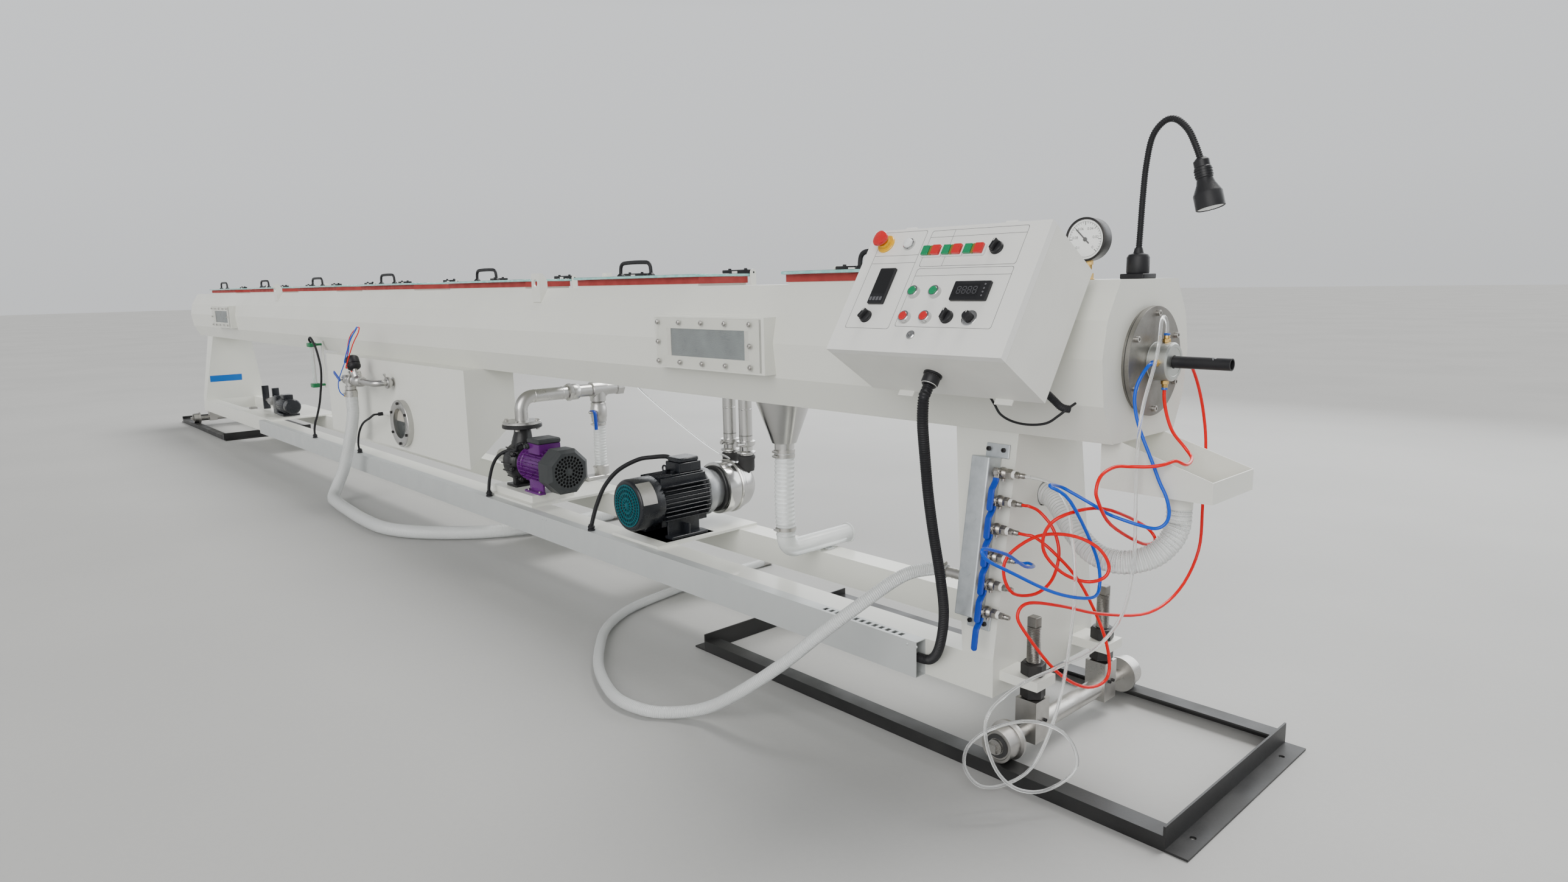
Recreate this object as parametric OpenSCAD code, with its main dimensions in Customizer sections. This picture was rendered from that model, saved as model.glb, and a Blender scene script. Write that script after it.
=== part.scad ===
// Vacuum calibration tank of a plastic pipe extrusion line.
// X runs along the pipe, towards its inlet. The operator stands at -Y. Millimetres, floor at z = 0.
// Inside machine() the inlet face of the tank is x = 0 and the pipe runs towards -X.

/* [Tank] */
// Length of the tank over both end plates
tank_l = 9030; // [8600:10:9400]
// Height of the pipe's axis above the floor
axis_h = 1000; // [990:5:1040]
// Thickness of the tank's sheet
tank_wall = 5; // [3:0.5:7]
// Thickness of the end plates
end_t = 8; // [5:1:12]
// Half width of the flat top
top_hw = 139; // [136:1:142]
// Height of the flat top above the axis
top_up = 191; // [188:1:196]
// Half width and height of the upper shoulder
shoulder = [193, 101.5];
// Half width and height of the widest corner
belly = [210, 15];
// Half width and depth of the lower corner
hip = [197, 91.5];
// Half width of the flat bottom
bottom_hw = 151; // [149:1:156]
// Depth of the flat bottom below the axis
bottom_down = 182; // [180:1:186]
// Radius of the bores in the end plates
end_bore_r = 95; // [80:1:100]

/* [Lids] */
// Length and width of each glass lid
glass = [810, 258];
// Thickness of the glass
glass_t = 10; // [6:1:12]
// Length and width of each opening in the deck
mouth = [740, 170];
// Width of the welded rim round an opening
rim_w = 24; // [16:1:26]
// Height of the welded rim
rim_h = 8; // [5:1:12]
// Width and height of the soft gasket
gasket = [32, 23];
// Distance of the first lid's middle from the inlet face
lid_near = 725; // [700:5:760]
// Distance of the last lid's middle from the outlet face
lid_far = 835; // [780:5:860]
// Distance of the hinge axis from the centre plane
hinge_y = 128; // [124:1:130]
// Height of the hinge axis above the flat top
hinge_up = 45; // [43:1:50]
// Radius of the hinge pins
hinge_pin_r = 4; // [3:0.5:5]

/* [Windows] */
// Length and height of a side window's frame
window = [570, 175];
// Length and height of the clear opening
window_open = [425, 92];
// Thickness of the acrylic pane
pane_t = 8; // [5:1:12]
// Distance of a window's middle from its end of the tank
window_in = 1370; // [1300:10:1440]

/* [Base] */
// Height of the beams' underside
beam_z = 150; // [148:1:156]
// Height and width of a beam
beam = [100, 90];
// Wall of the beams
beam_wall = 5; // [3:1:8]
// Half width over both beams
base_hw = 240; // [238:1:244]
// Inset of the base's end face from the tank's end
base_in = 250; // [240:5:260]
// Length of the cross member along the tank
cross_l = 95; // [80:5:110]
// Length of the column's top along the tank
column_top_l = 190; // [170:5:210]
// Half width of the column's top
column_top_hw = 148; // [144:1:149]
// Sheet of the columns
column_wall = 6; // [4:1:8]

/* [Jacks] */
// Distance of the jack screws from the centre plane
jack_y = 170; // [166:1:174]
// Distance of the jack screws outside the base's end face
jack_out = 72; // [68:1:76]
// Diameter of the jack screws
jack_d = 36; // [30:1:38]
// Height of the screw's square top
jack_top = 367; // [350:1:380]
// Thickness of the jack plates
jack_plate_t = 25; // [16:1:28]
// Across flats of the jack nuts
nut_af = 55; // [50:1:58]
// Side of the square axle blocks
block = 60; // [56:1:64]
// Distance of the wheel's tread from the centre plane
tread_y = 280; // [278:1:286]
// Width of the wheel's tread
tread_w = 45; // [40:1:48]
// Radius of the wheel's tread
wheel_r = 42; // [40:1:44]
// Radius of the wheel's flange
flange_r = 50; // [48:1:52]
// Diameter of the axle
axle_d = 30; // [24:1:32]

/* [Tracks] */
// Height of the rails
rail_h = 35; // [32:1:38]
// Width of the rails
rail_w = 50; // [48:1:54]
// Thickness of the angles
angle_t = 5; // [4:1:6]
// Distance from the inlet face to the near cross angle
cross_x = 246; // [200:1:300]
// Length of the rails
rail_l = 1556; // [1500:2:1600]
// Height and width of the cross angles
cross_angle = [57, 55];

/* [Water box] */
// Distance of the water box from the inlet face, and its length
box_at = [3210, 1970];
// Distance of the box's front from the centre plane
box_y = 250; // [240:1:256]
// Heights of the box's lower front edge and rear edge
box_low = [345, 560];
// Sheet of the water box
box_wall = 4; // [3:1:6]

/* [Cabinet] */
// Width, height and depth of the control cabinet
cabinet = [494, 332, 200];
// Depth of the door
door_t = 20; // [15:1:25]
// Tilt of the panel from level
cabinet_tilt = 57; // [54:1:60]
// Sheet of the cabinet
cabinet_wall = 3; // [2:0.5:4]

/* [Tubing] */
// Diameter of the push-in tubes
tube_d = 8; // [6:1:8]
// Diameter of the spiral hose under the catch tray
tray_hose_d = 58; // [50:1:60]
// Diameter of the water supply hose
supply_hose_d = 34; // [30:1:36]
// Diameter of the hose below the fill valve
tank_hose_d = 64; // [60:1:66]

/* [Hidden] */
$fn = 48;
// Gap of a piece that lies on its seat but moves
seat = 0.3;
// Gap round a pin in its bore
fit = 0.08;
// Overshoot of a cut past the face that it opens
over = 10;

// Frame of the part: the origin lies under the middle of the near cross angle's floor leg
face_x = -(cross_x + cross_angle[1] / 2);
module machine() translate([face_x, 0, 0]) children();
module other_end() translate([-tank_l, 0, 0]) mirror([1, 0, 0]) children();
module both_ends() {
    children();
    other_end() children();
}
module both_sides() {
    children();
    mirror([0, 1, 0]) children();
}

// Solids given by their faces
module span(x, y, z) translate([x[0], y[0], z[0]]) cube([x[1] - x[0], y[1] - y[0], z[1] - z[0]]);
module rod_x(x, y, z, r) translate([x[0], y, z]) rotate([0, 90, 0]) cylinder(h = x[1] - x[0], r = r);
module rod_y(y, x, z, r) translate([x, y[0], z]) rotate([-90, 0, 0]) cylinder(h = y[1] - y[0], r = r);
module rod_z(z, x, y, r) translate([x, y, z[0]]) cylinder(h = z[1] - z[0], r = r);
// A (y, z) outline carried along X, and an (x, z) outline carried along Y
module along_x(x) translate([x[0], 0, 0]) rotate([90, 0, 90]) linear_extrude(x[1] - x[0]) children();
module along_y(y) translate([0, y[1], 0]) rotate([90, 0, 0]) linear_extrude(y[1] - y[0]) children();
// A quarter bend: from +X of its centre towards +Y, in the XY plane
module bend(rb, r) rotate_extrude(angle = 90) translate([rb, 0]) circle(r);

// Outline helpers
function unit(v) = v / norm(v);
function left(v) = [-v[1], v[0]];
function corner_in(a, b, c, t) =
    let (n = left(unit(b - a)), m = left(unit(c - b))) b + (n + m) * t / (1 + n * m);
function inset(p, t) =
    [for (i = [0 : len(p) - 1]) corner_in(p[(i + len(p) - 1) % len(p)], p[i], p[(i + 1) % len(p)], t)];
function flipped(p) = [for (i = [len(p) - 1 : -1 : 0]) [-p[i][0], p[i][1]]];

// Tank outline in (y, z), counter-clockwise from the lower front
half_outline = [[bottom_hw, axis_h - bottom_down], [hip[0], axis_h - hip[1]], [belly[0], axis_h + belly[1]],
    [shoulder[0], axis_h + shoulder[1]], [top_hw, axis_h + top_up]];
outline = concat(half_outline, flipped(half_outline));
deck_z = axis_h + top_up;
tank_bottom = axis_h - bottom_down;
// Half width of the tank on one of its slanted sides, at height z
function side_y(a, b, z) = a[0] + (b[0] - a[0]) * (z - a[1]) / (b[1] - a[1]);
lid_pitch = (tank_l - lid_near - lid_far) / 6;
function lid_x(i) = -lid_near - lid_pitch * i;
rim_top = deck_z + rim_h;
gasket_top = rim_top + gasket[1];
hinge_z = deck_z + hinge_up;

// TRACKS
rail_out = tread_y + 5 + rail_w;
module track() {
    far_x = cross_x - rail_l;
    both_sides() along_x([far_x, cross_x]) {
        translate([rail_out - rail_w, rail_h - angle_t]) square([rail_w, angle_t]);
        translate([rail_out - angle_t, 0]) square([angle_t, rail_h]);
    }
    cross_angle_bar(cross_x);
    translate([2 * far_x, 0, 0]) mirror([1, 0, 0]) cross_angle_bar(far_x);
}
anchor_y = 250;
anchor_r = 7;
module cross_angle_bar(x) difference() {
    union() {
        span([x, x + angle_t], [-rail_out, rail_out], [0, cross_angle[0]]);
        span([x, x + cross_angle[1]], [-rail_out, rail_out], [0, angle_t]);
    }
    both_sides() rod_z([-over, angle_t + over], x + cross_angle[1] / 2, anchor_y, anchor_r);
}
module near_track() color("black") machine() track();
module far_track() color("black") machine() other_end() track();

// BASE: two box beams, the cross members and the tapered columns
beam_top = beam_z + beam[0];
plate_t = 10;
pump_x = -2935;
vac_x = -1840;
drive_x = -tank_l + 2330;
pump_plate_x = [pump_x - 125, pump_x + 295];
vacuum_plate_x = [vac_x - 160, vac_x + 140];
drive_plate_x = [drive_x - 780, drive_x + 60];
module base_frame() color("gainsboro") machine() {
    x = [-tank_l + base_in + cross_l, -base_in - cross_l];
    both_sides() difference() {
        span(x, [base_hw - beam[1], base_hw], [beam_z, beam_top]);
        span([x[0] - over, x[1] + over], [base_hw - beam[1] + beam_wall, base_hw - beam_wall],
            [beam_z + beam_wall, beam_top - beam_wall]);
    }
    for (p = [pump_plate_x, vacuum_plate_x, drive_plate_x])
        span(p, [-base_hw, base_hw], [beam_top, beam_top + plate_t]);
}

base_x = -base_in;
column_low = [base_x - cross_l, base_x];
column_high = [base_x - column_top_l, base_x];
function column_xz(t) = inset([[column_low[0], beam_top], [column_low[1], beam_top],
    [column_high[1], tank_bottom], [column_high[0], tank_bottom]], t);
function column_yz(t) = inset([[-base_hw, beam_top], [base_hw, beam_top],
    [column_top_hw, tank_bottom], [-column_top_hw, tank_bottom]], t);
jack_x = base_x + jack_out;
jack_plate_z = [beam_z + 40, beam_z + 40 + jack_plate_t];
jack_plate_hw = 41;
jack_plate_out = 110;
hose_hole = [-26, 645];
hose_hole_r = tray_hose_d / 2 + 3;
module column_block(t) intersection() {
    along_y([-base_hw, base_hw]) polygon(column_xz(t));
    along_x([column_high[0] - over, base_x + over]) polygon(column_yz(t));
}
module pedestal(hole) difference() {
    union() {
        difference() {
            union() {
                column_block(0);
                span(column_low, [-base_hw, base_hw], [beam_z, beam_top]);
            }
            column_block(column_wall);
            span([column_low[0] + column_wall, base_x - column_wall],
                [-base_hw + column_wall, base_hw - column_wall], [beam_z + column_wall, beam_top - column_wall]);
        }
        both_sides() span([base_x, base_x + jack_plate_out],
            [jack_y - jack_plate_hw, jack_y + jack_plate_hw], jack_plate_z);
    }
    both_sides() rod_z([jack_plate_z[0] - over, jack_plate_z[1] + over], jack_x, jack_y, jack_d / 2 + 0.4);
    if (hole) rod_x([base_x - column_wall - over, base_x + over], hose_hole[0], hose_hole[1], hose_hole_r);
}
module near_pedestal() color("gainsboro") machine() pedestal(true);
module far_pedestal() color("gainsboro") machine() other_end() pedestal(false);

// JACKS, AXLES AND WHEELS
axle_z = rail_h + wheel_r + seat;
block_z = [axle_z - 32, axle_z + 78];
nut_h = 34;
square_h = 25;
square_w = jack_d * 0.72;
module jack() translate([jack_x, jack_y, 0]) {
    rod_z([block_z[1], jack_top - square_h], 0, 0, jack_d / 2);
    for (z = [jack_plate_z[1], jack_plate_z[0] - nut_h])
        translate([0, 0, z]) cylinder(h = nut_h, r = nut_af / sqrt(3), $fn = 6);
    span([-square_w / 2, square_w / 2], [-square_w / 2, square_w / 2], [jack_top - square_h, jack_top]);
}
module jack_screws() color("slategray") machine() both_ends() both_sides() jack();

axle_tube_r = 25;
collar_y = tread_y + tread_w + 1;
collar_w = 6;
axle_end_y = tread_y + tread_w + 20;
axle_square = axle_d * 0.75;
module axle_unit() {
    rod_y([-jack_y, jack_y], jack_x, axle_z, axle_tube_r);
    rod_y([-collar_y, collar_y], jack_x, axle_z, axle_d / 2);
    both_sides() {
        span([jack_x - block / 2, jack_x + block / 2], [jack_y - block / 2, jack_y + block / 2], block_z);
        rod_y([collar_y, collar_y + collar_w], jack_x, axle_z, axle_d / 2 + 4);
        span([jack_x - axle_square / 2, jack_x + axle_square / 2], [collar_y + collar_w, axle_end_y],
            [axle_z - axle_square / 2, axle_z + axle_square / 2]);
    }
}
module axles() color("silver") machine() both_ends() axle_unit();

flange_w = 8;
module wheel_pair() both_sides() translate([jack_x, tread_y - flange_w, axle_z]) rotate([-90, 0, 0])
    rotate_extrude() polygon([[axle_d / 2 + fit, 0], [flange_r, 0], [flange_r, flange_w],
        [wheel_r, flange_w + 2], [wheel_r, flange_w + tread_w], [wheel_r - 6, flange_w + tread_w],
        [wheel_r - 8, flange_w + tread_w - 3], [axle_d / 2 + 5, flange_w + tread_w - 3],
        [axle_d / 2 + 5, flange_w + tread_w], [axle_d / 2 + fit, flange_w + tread_w]]);
module near_wheels() color("darkgray") machine() wheel_pair();
module far_wheels() color("darkgray") machine() other_end() wheel_pair();

// TANK
window_z = axis_h + 7;
window_out = 245;
module window_places() for (x = [-window_in, -tank_l + window_in - 90]) translate([x, 0, 0]) children();
lug_x = [-2600, -tank_l + 2630];
lug = [66, 99, 8];
lug_y = 178;
lug_hole_r = 16;
module lug_shape(x) {
    low = [shoulder[0], axis_h + shoulder[1]];
    high = [top_hw, deck_z];
    z0 = deck_z - 36;
    difference() {
        union() {
            span([x - lug[0] / 2, x + lug[0] / 2], [-lug_y, -lug_y + lug[2]], [z0 - 20, z0 + lug[1]]);
            along_x([x + lug[0] / 2 - lug[2], x + lug[0] / 2]) polygon([[-lug_y, z0 - 20],
                [-side_y(low, high, z0 - 20) + 2, z0 - 20], [-side_y(low, high, deck_z - 6) + 2, deck_z - 6],
                [-side_y(low, high, deck_z - 6) + 2, z0 + lug[1] - 30], [-lug_y + lug[2] + 10, z0 + lug[1]],
                [-lug_y, z0 + lug[1]]]);
            along_x([x - lug[0] / 2, x + lug[0] / 2]) polygon([[-lug_y, z0 - 20],
                [-side_y(low, high, z0 - 20) + 2, z0 - 20], [-side_y(low, high, z0 - 12) + 2, z0 - 12],
                [-lug_y, z0 - 12]]);
        }
        rod_y([-lug_y - over, -lug_y + lug[2] + 1], x, z0 + lug[1] * 0.6, lug_hole_r);
    }
}
tank_in = [-tank_l + end_t, -end_t];
drain_x = -1270;
drain_bore_r = 45;
module tank_trough() color("gainsboro") machine() difference() {
    union() {
        along_x(tank_in) polygon(outline);
        window_places() span([-window[0] / 2, window[0] / 2], [-window_out, -hip[0] + 10],
            [window_z - window[1] / 2, window_z + window[1] / 2]);
        for (x = lug_x) both_sides() lug_shape(x);
    }
    along_x([tank_in[0] - over, tank_in[1] + over]) polygon(inset(outline, tank_wall));
    along_x([tank_in[0] - over, tank_in[1] + over]) intersection() {
        polygon(outline);
        translate([-belly[0], deck_z - tank_wall]) square([2 * belly[0], tank_wall]);
    }
    window_places() span([-window_open[0] / 2, window_open[0] / 2], [-window_out - over, -hip[0] + 20],
        [window_z - window_open[1] / 2, window_z + window_open[1] / 2]);
    rod_z([tank_bottom - over, tank_bottom + tank_wall + over], drain_x, 0, drain_bore_r);
}

bracket_t = 6;
bracket_gap = 5;
bracket_w = 24;
bracket_x = glass[0] / 2 + bracket_gap;
module hinge_brackets() for (s = [-1, 1]) translate([s < 0 ? -bracket_x - bracket_t : bracket_x, 0, 0])
    difference() {
        union() {
            span([0, bracket_t], [top_hw - bracket_w, top_hw], [deck_z, hinge_z]);
            rod_x([0, bracket_t], top_hw - bracket_w / 2, hinge_z, bracket_w / 2);
        }
        rod_x([-over, bracket_t + over], hinge_y, hinge_z, hinge_pin_r + fit);
    }
// The deck is one sheet per lid and a plain strip at the far end, with a fine butt joint between them
deck_joint = 0.2;
function sheet_x(i) = i == 7 ? [tank_in[0], lid_x(6) - (lid_pitch + deck_joint) / 2]
    : [lid_x(i) - (lid_pitch - deck_joint) / 2, i == 0 ? tank_in[1] : lid_x(i) + (lid_pitch - deck_joint) / 2];
module deck_sheet(i) along_x(sheet_x(i)) intersection() {
    polygon(outline);
    translate([-belly[0], deck_z - tank_wall]) square([2 * belly[0], tank_wall]);
}
module tank_deck() color("gainsboro") machine() {
    for (i = [0 : 6]) {
        difference() {
            union() {
                deck_sheet(i);
                translate([lid_x(i), 0, 0]) span([-mouth[0] / 2 - rim_w, mouth[0] / 2 + rim_w],
                    [-mouth[1] / 2 - rim_w, mouth[1] / 2 + rim_w], [deck_z - 1, rim_top]);
            }
            translate([lid_x(i), 0, 0]) span([-mouth[0] / 2, mouth[0] / 2],
                [-mouth[1] / 2, mouth[1] / 2], [deck_z - tank_wall - over, rim_top + over]);
        }
        translate([lid_x(i), 0, 0]) hinge_brackets();
    }
    deck_sheet(7);
}
module end_plates() color("gainsboro") machine() both_ends() difference() {
    along_x([-end_t, 0]) polygon(outline);
    rod_x([-end_t - over, over], 0, axis_h, end_bore_r);
}
module lid_gaskets() color("firebrick") machine() for (i = [0 : 6]) translate([lid_x(i), 0, 0]) difference() {
    span([-mouth[0] / 2 - gasket[0], mouth[0] / 2 + gasket[0]],
        [-mouth[1] / 2 - gasket[0] + 6, mouth[1] / 2 + gasket[0] - 6], [rim_top, gasket_top]);
    span([-mouth[0] / 2, mouth[0] / 2], [-mouth[1] / 2, mouth[1] / 2], [rim_top - over, gasket_top + over]);
}
pane_edge = 10;
module window_panes() color("lightcyan") machine() window_places() {
    span([-window[0] / 2 + pane_edge, window[0] / 2 - pane_edge], [-window_out - pane_t, -window_out],
        [window_z - window[1] / 2 + pane_edge / 2, window_z + window[1] / 2 - pane_edge / 2]);
    for (i = [-2.5 : 1 : 2.5], s = [-1, 1]) rod_y([-window_out - pane_t - 6, -window_out - pane_t],
        i * (window[0] - 60) / 5, window_z + s * (window[1] / 2 - 22), 7);
}

// LIDS: glass, front handle and rear clamp bars
clamp_l = 150;
handle_w = 200;
handle_up = 48;
lid_z = gasket_top + seat;
clamp_y = [hinge_y - 16, hinge_y + 10];
clamp_z = [lid_z, lid_z + glass_t + 14];
module lid(i) machine() translate([lid_x(i), 0, 0]) {
    color("lightcyan") span([-glass[0] / 2, glass[0] / 2], [-glass[1] / 2, glass[1] / 2], [lid_z, lid_z + glass_t]);
    for (s = [-1, 1]) color("black") {
        x = s < 0 ? [-glass[0] / 2, -glass[0] / 2 + clamp_l] : [glass[0] / 2 - clamp_l, glass[0] / 2];
        span(x, clamp_y, clamp_z);
        rod_x(s < 0 ? [x[0] - bracket_gap - bracket_t, x[0] + 1] : [x[1] - 1, x[1] + bracket_gap + bracket_t],
            hinge_y, hinge_z, hinge_pin_r);
    }
    color("black") translate([0, -glass[1] / 2 + 30, lid_z + glass_t]) {
        r = 7;
        for (s = [-1, 1]) {
            translate([s * handle_w / 2, 0, 0]) rod_z([-1, handle_up - 20], 0, 0, r);
            translate([s * (handle_w / 2 - 20), 0, handle_up - 20]) rotate([90, 0, s < 0 ? 180 : 0]) bend(20, r);
        }
        rod_x([-handle_w / 2 + 20, handle_w / 2 - 20], 0, handle_up, r);
    }
}

// INLET: flange, calibrator and inlet tube
flange_plate_r = 129;
flange_layers = [[0, 7, 124], [7, 10, 127], [10, 20, 129]];
calib_r = 45;
calib_x = [-60, 66];
flange_screw_r = 112;
inlet_r = 14;
inlet_x = [-50, 196];
module inlet_flange() color("silver") machine() difference() {
    union() {
        for (l = flange_layers) rod_x([l[0], l[1]], 0, axis_h, l[2]);
        for (a = [30 : 60 : 330]) rod_x([19, 28], flange_screw_r * cos(a), axis_h + flange_screw_r * sin(a), 7);
    }
    rod_x([-over, 20 + over], 0, axis_h, calib_r + fit);
}
fitting_x = 45;
fitting_r = 66;
module calibrator() color("silver") machine() difference() {
    union() {
        rod_x(calib_x, 0, axis_h, calib_r);
        for (a = [0 : 90 : 270]) translate([fitting_x, 0, axis_h]) rotate([a, 0, 0]) {
            cylinder(h = fitting_r - 8, r = 8);
            cylinder(h = fitting_r, r = 6.5);
        }
    }
    rod_x([calib_x[0] - over, calib_x[1] + over], 0, axis_h, inlet_r + 0.2);
}
module inlet_tube() color("black") machine() difference() {
    rod_x(inlet_x, 0, axis_h, inlet_r);
    rod_x([inlet_x[0] - over, inlet_x[1] + over], 0, axis_h, inlet_r - 3);
    translate([inlet_x[1] - 38, 0, axis_h + inlet_r]) rotate([0, 45, 0]) cube([8, 3 * inlet_r, 8], center = true);
}

// WATER BOX under the tank, its sight flange and sensor
box_x = [-box_at[0] - box_at[1], -box_at[0]];
function box_yz(t) = inset([[-box_y, box_low[0]], [0, box_low[1]], [0, tank_bottom], [-box_y, tank_bottom]], t);
sight = [-3990, box_low[0] + 150];
sight_r = 125;
sight_bore_r = 80;
sight_t = 30;
module water_box() color("gainsboro") machine() difference() {
    along_x(box_x) polygon(box_yz(0));
    along_x([box_x[0] + box_wall, box_x[1] - box_wall]) polygon(box_yz(box_wall));
    rod_y([-box_y - over, -box_y + box_wall + 1], sight[0], sight[1], sight_bore_r);
}
module sight_flange() color("silver") machine() difference() {
    union() {
        rod_y([-box_y - sight_t, -box_y], sight[0], sight[1], sight_r);
        for (a = [30 : 60 : 330]) rod_y([-box_y - sight_t - 6, -box_y - sight_t + 1],
            sight[0] + (sight_r - 18) * cos(a), sight[1] + (sight_r - 18) * sin(a), 7);
    }
    rod_y([-box_y - sight_t - over, -box_y - 8], sight[0], sight[1], sight_bore_r);
}

// FILL VALVE on the water box
fill_x = -4097;
fill_z = axis_h - 294;
fill_y = -350;
fill_r = 17;
fill_bend = 45;
tee_x = -4475;
module fill_valve() color("silver") machine() {
    rod_y([fill_y + fill_bend, -box_y], fill_x, fill_z, fill_r);
    rod_y([-box_y - 8, -box_y], fill_x, fill_z, 28);
    rod_y([-box_y - 40, -box_y - 22], fill_x, fill_z, 32);
    translate([fill_x - fill_bend, fill_y + fill_bend, fill_z]) rotate([0, 0, -90]) bend(fill_bend, fill_r);
    rod_x([tee_x - 90, fill_x - fill_bend], fill_y, fill_z, fill_r);
    translate([tee_x + 130, fill_y, fill_z]) {
        sphere(32);
        rotate([0, -30, 0]) {
            cylinder(h = 80, r = 16);
            translate([0, 0, 30]) cylinder(h = 20, r = 26);
            translate([0, 0, 75]) cylinder(h = 75, r = 36);
        }
    }
    for (x = [tee_x + 30, tee_x + 75, tee_x + 178]) rod_x([x, x + 14], fill_y, fill_z, 28);
    rod_z([fill_z - 60, fill_z], tee_x, fill_y, 24);
    rod_z([fill_z - 94, fill_z - 60], tee_x, fill_y, tank_hose_d / 2);
    rod_x([tee_x - 80, tee_x - 30], fill_y, fill_z, 27);
    translate([tee_x - 55, fill_y - 20, fill_z]) {
        rod_y([-16, 0], 0, 0, 7);
        rotate([0, 25, 0]) span([-90, 12], [-19, -14], [-10, 10]);
    }
}
gauge_x = -5450;
gauge_z = [tank_bottom - 218, tank_bottom + 42];
plate_y = [184, 190];
module level_gauges() machine() {
    color("green") {
        for (z = gauge_z) {
            rod_z([z - 9, z + 9], gauge_x, -box_y, 26);
            rod_y([-box_y, -plate_y[1]], gauge_x, z, 8);
        }
        rod_z(gauge_z, gauge_x, -box_y, 14);
        low = [bottom_hw, tank_bottom];
        high = [hip[0], axis_h - hip[1]];
        slope = (high[1] - low[1]) / (high[0] - low[0]);
        along_x([gauge_x - 16, gauge_x + 16]) polygon([[-plate_y[1], gauge_z[0] - 20], [-plate_y[0], gauge_z[0] - 20],
            [-plate_y[0], low[1] + slope * (plate_y[0] - low[0])], [-plate_y[1], low[1] + slope * (plate_y[1] - low[0])]]);
    }
    color("silver") {
        rod_y([-box_y - 32, -box_y], sight[0] - 210, sight[1] + 35, 14);
        rod_y([-box_y - 60, -box_y - 32], sight[0] - 210, sight[1] + 35, 10);
    }
}

// CABLE TRAY along the front beam
tray_y = [-base_hw - 40, -base_hw];
tray_x = [-tank_l + 2230, -base_in - 215];
tray_wall = 2;
module cable_tray() color("silver") machine() difference() {
    span(tray_x, tray_y, [beam_z, beam_top]);
    span([tray_x[0] - over, tray_x[1] + over], [tray_y[0] + tray_wall, tray_y[1] - tray_wall],
        [beam_z + tray_wall, beam_top - tray_wall]);
    for (x = [tray_x[1] - 60 : -24 : tray_x[1] - 348]) span([x - 14, x], [tray_y[0] + 10, tray_y[1] - 10],
        [beam_top - tray_wall - 1, beam_top + 1]);
}

// CABINET with its tilted door
cabinet_at = [-540, -530, axis_h + 40];
panel_gap = 0.5;
door_hinge = [cabinet[1] + 7, -door_t - panel_gap / 2];
module on_panel() machine() translate(cabinet_at) rotate([cabinet_tilt, 0, 0]) children();
function panel_yz(v, w) = [cabinet_at[1] + v * cos(cabinet_tilt) - w * sin(cabinet_tilt),
    cabinet_at[2] + v * sin(cabinet_tilt) + w * cos(cabinet_tilt)];
knuckle = [30, 60];
knuckle_r = 6;
module knuckles(x, w) rod_x([x, x + w], door_hinge[0], door_hinge[1], knuckle_r);
module cabinet_box() color("gainsboro") {
    front = -door_t - panel_gap;
    on_panel() difference() {
        union() {
            span([0, cabinet[0]], [0, cabinet[1]], [-cabinet[2], front]);
            for (x = [60, cabinet[0] - 60 - knuckle[0]]) {
                knuckles(x, knuckle[0]);
                span([x, x + knuckle[0]], [cabinet[1] - 1, door_hinge[0] + 1], [front - 16, door_hinge[1]]);
            }
            for (x = [90, 370]) span([x, x + 46], [-14, 0], [-cabinet[2], -cabinet[2] + cabinet_wall]);
            translate([260, 0, -95]) rotate([90, 0, 0]) cylinder(h = 28, r = 18);
        }
        span([cabinet_wall, cabinet[0] - cabinet_wall], [cabinet_wall, cabinet[1] - cabinet_wall],
            [-cabinet[2] + cabinet_wall, over]);
        for (x = [60, cabinet[0] - 60 - knuckle[0]]) rod_x([x - over, x + knuckle[0] + over],
            door_hinge[0], door_hinge[1], 3 + fit);
    }
    low = [-shoulder[0], axis_h + shoulder[1]];
    high = [-top_hw, deck_z];
    for (x = [120, 350]) machine() along_x([cabinet_at[0] + x, cabinet_at[0] + x + 8]) polygon([
        panel_yz(120, -cabinet[2]), low, low + (high - low) * 0.8, panel_yz(260, -cabinet[2])]);
}
module cabinet_door() color("whitesmoke") on_panel() {
    difference() {
        span([0, cabinet[0]], [0, cabinet[1]], [-door_t, 0]);
        span([cabinet_wall, cabinet[0] - cabinet_wall], [cabinet_wall, cabinet[1] - cabinet_wall],
            [-door_t - over, -cabinet_wall]);
    }
    for (x = [60 + knuckle[0] + 1, cabinet[0] - 60 - 2 * knuckle[0] - 1]) {
        knuckles(x, knuckle[0]);
        span([x, x + knuckle[0]], [cabinet[1] - 1, door_hinge[0] + 1], [-14, -5]);
    }
    rod_x([60, 60 + knuckle[0] + 2], door_hinge[0], door_hinge[1], 3);
    rod_x([cabinet[0] - 62 - knuckle[0], cabinet[0] - 60], door_hinge[0], door_hinge[1], 3);
}
// Panel pieces: [x, v, radius, height]
round_controls = [[54, 289, 20, 34], [126, 284, 15, 12], [382, 267, 15, 22], [85, 89, 15, 22], [321, 91, 15, 22],
    [204, 153, 15, 12], [263, 155, 15, 12], [206, 87, 15, 12], [264, 89, 15, 12], [384, 91, 19, 18],
    [241, 46, 11, 6]];
// Panel pieces: [x, v, width, height, proud]
square_controls = [[310, 132, 96, 48, 9], [75, 123, 48, 96, 9], [179, 248, 56, 29, 12], [238, 248, 56, 29, 12],
    [297, 248, 56, 29, 12]];
module door_controls() color("dimgray") on_panel() {
    for (c = round_controls) translate([c[0], c[1], 0]) {
        cylinder(h = c[3] * 0.5, r = c[2]);
        cylinder(h = c[3], r = c[2] * 0.8);
    }
    for (c = square_controls) span([c[0], c[0] + c[2]], [c[1], c[1] + c[3]], [0, c[4]]);
}

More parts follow.
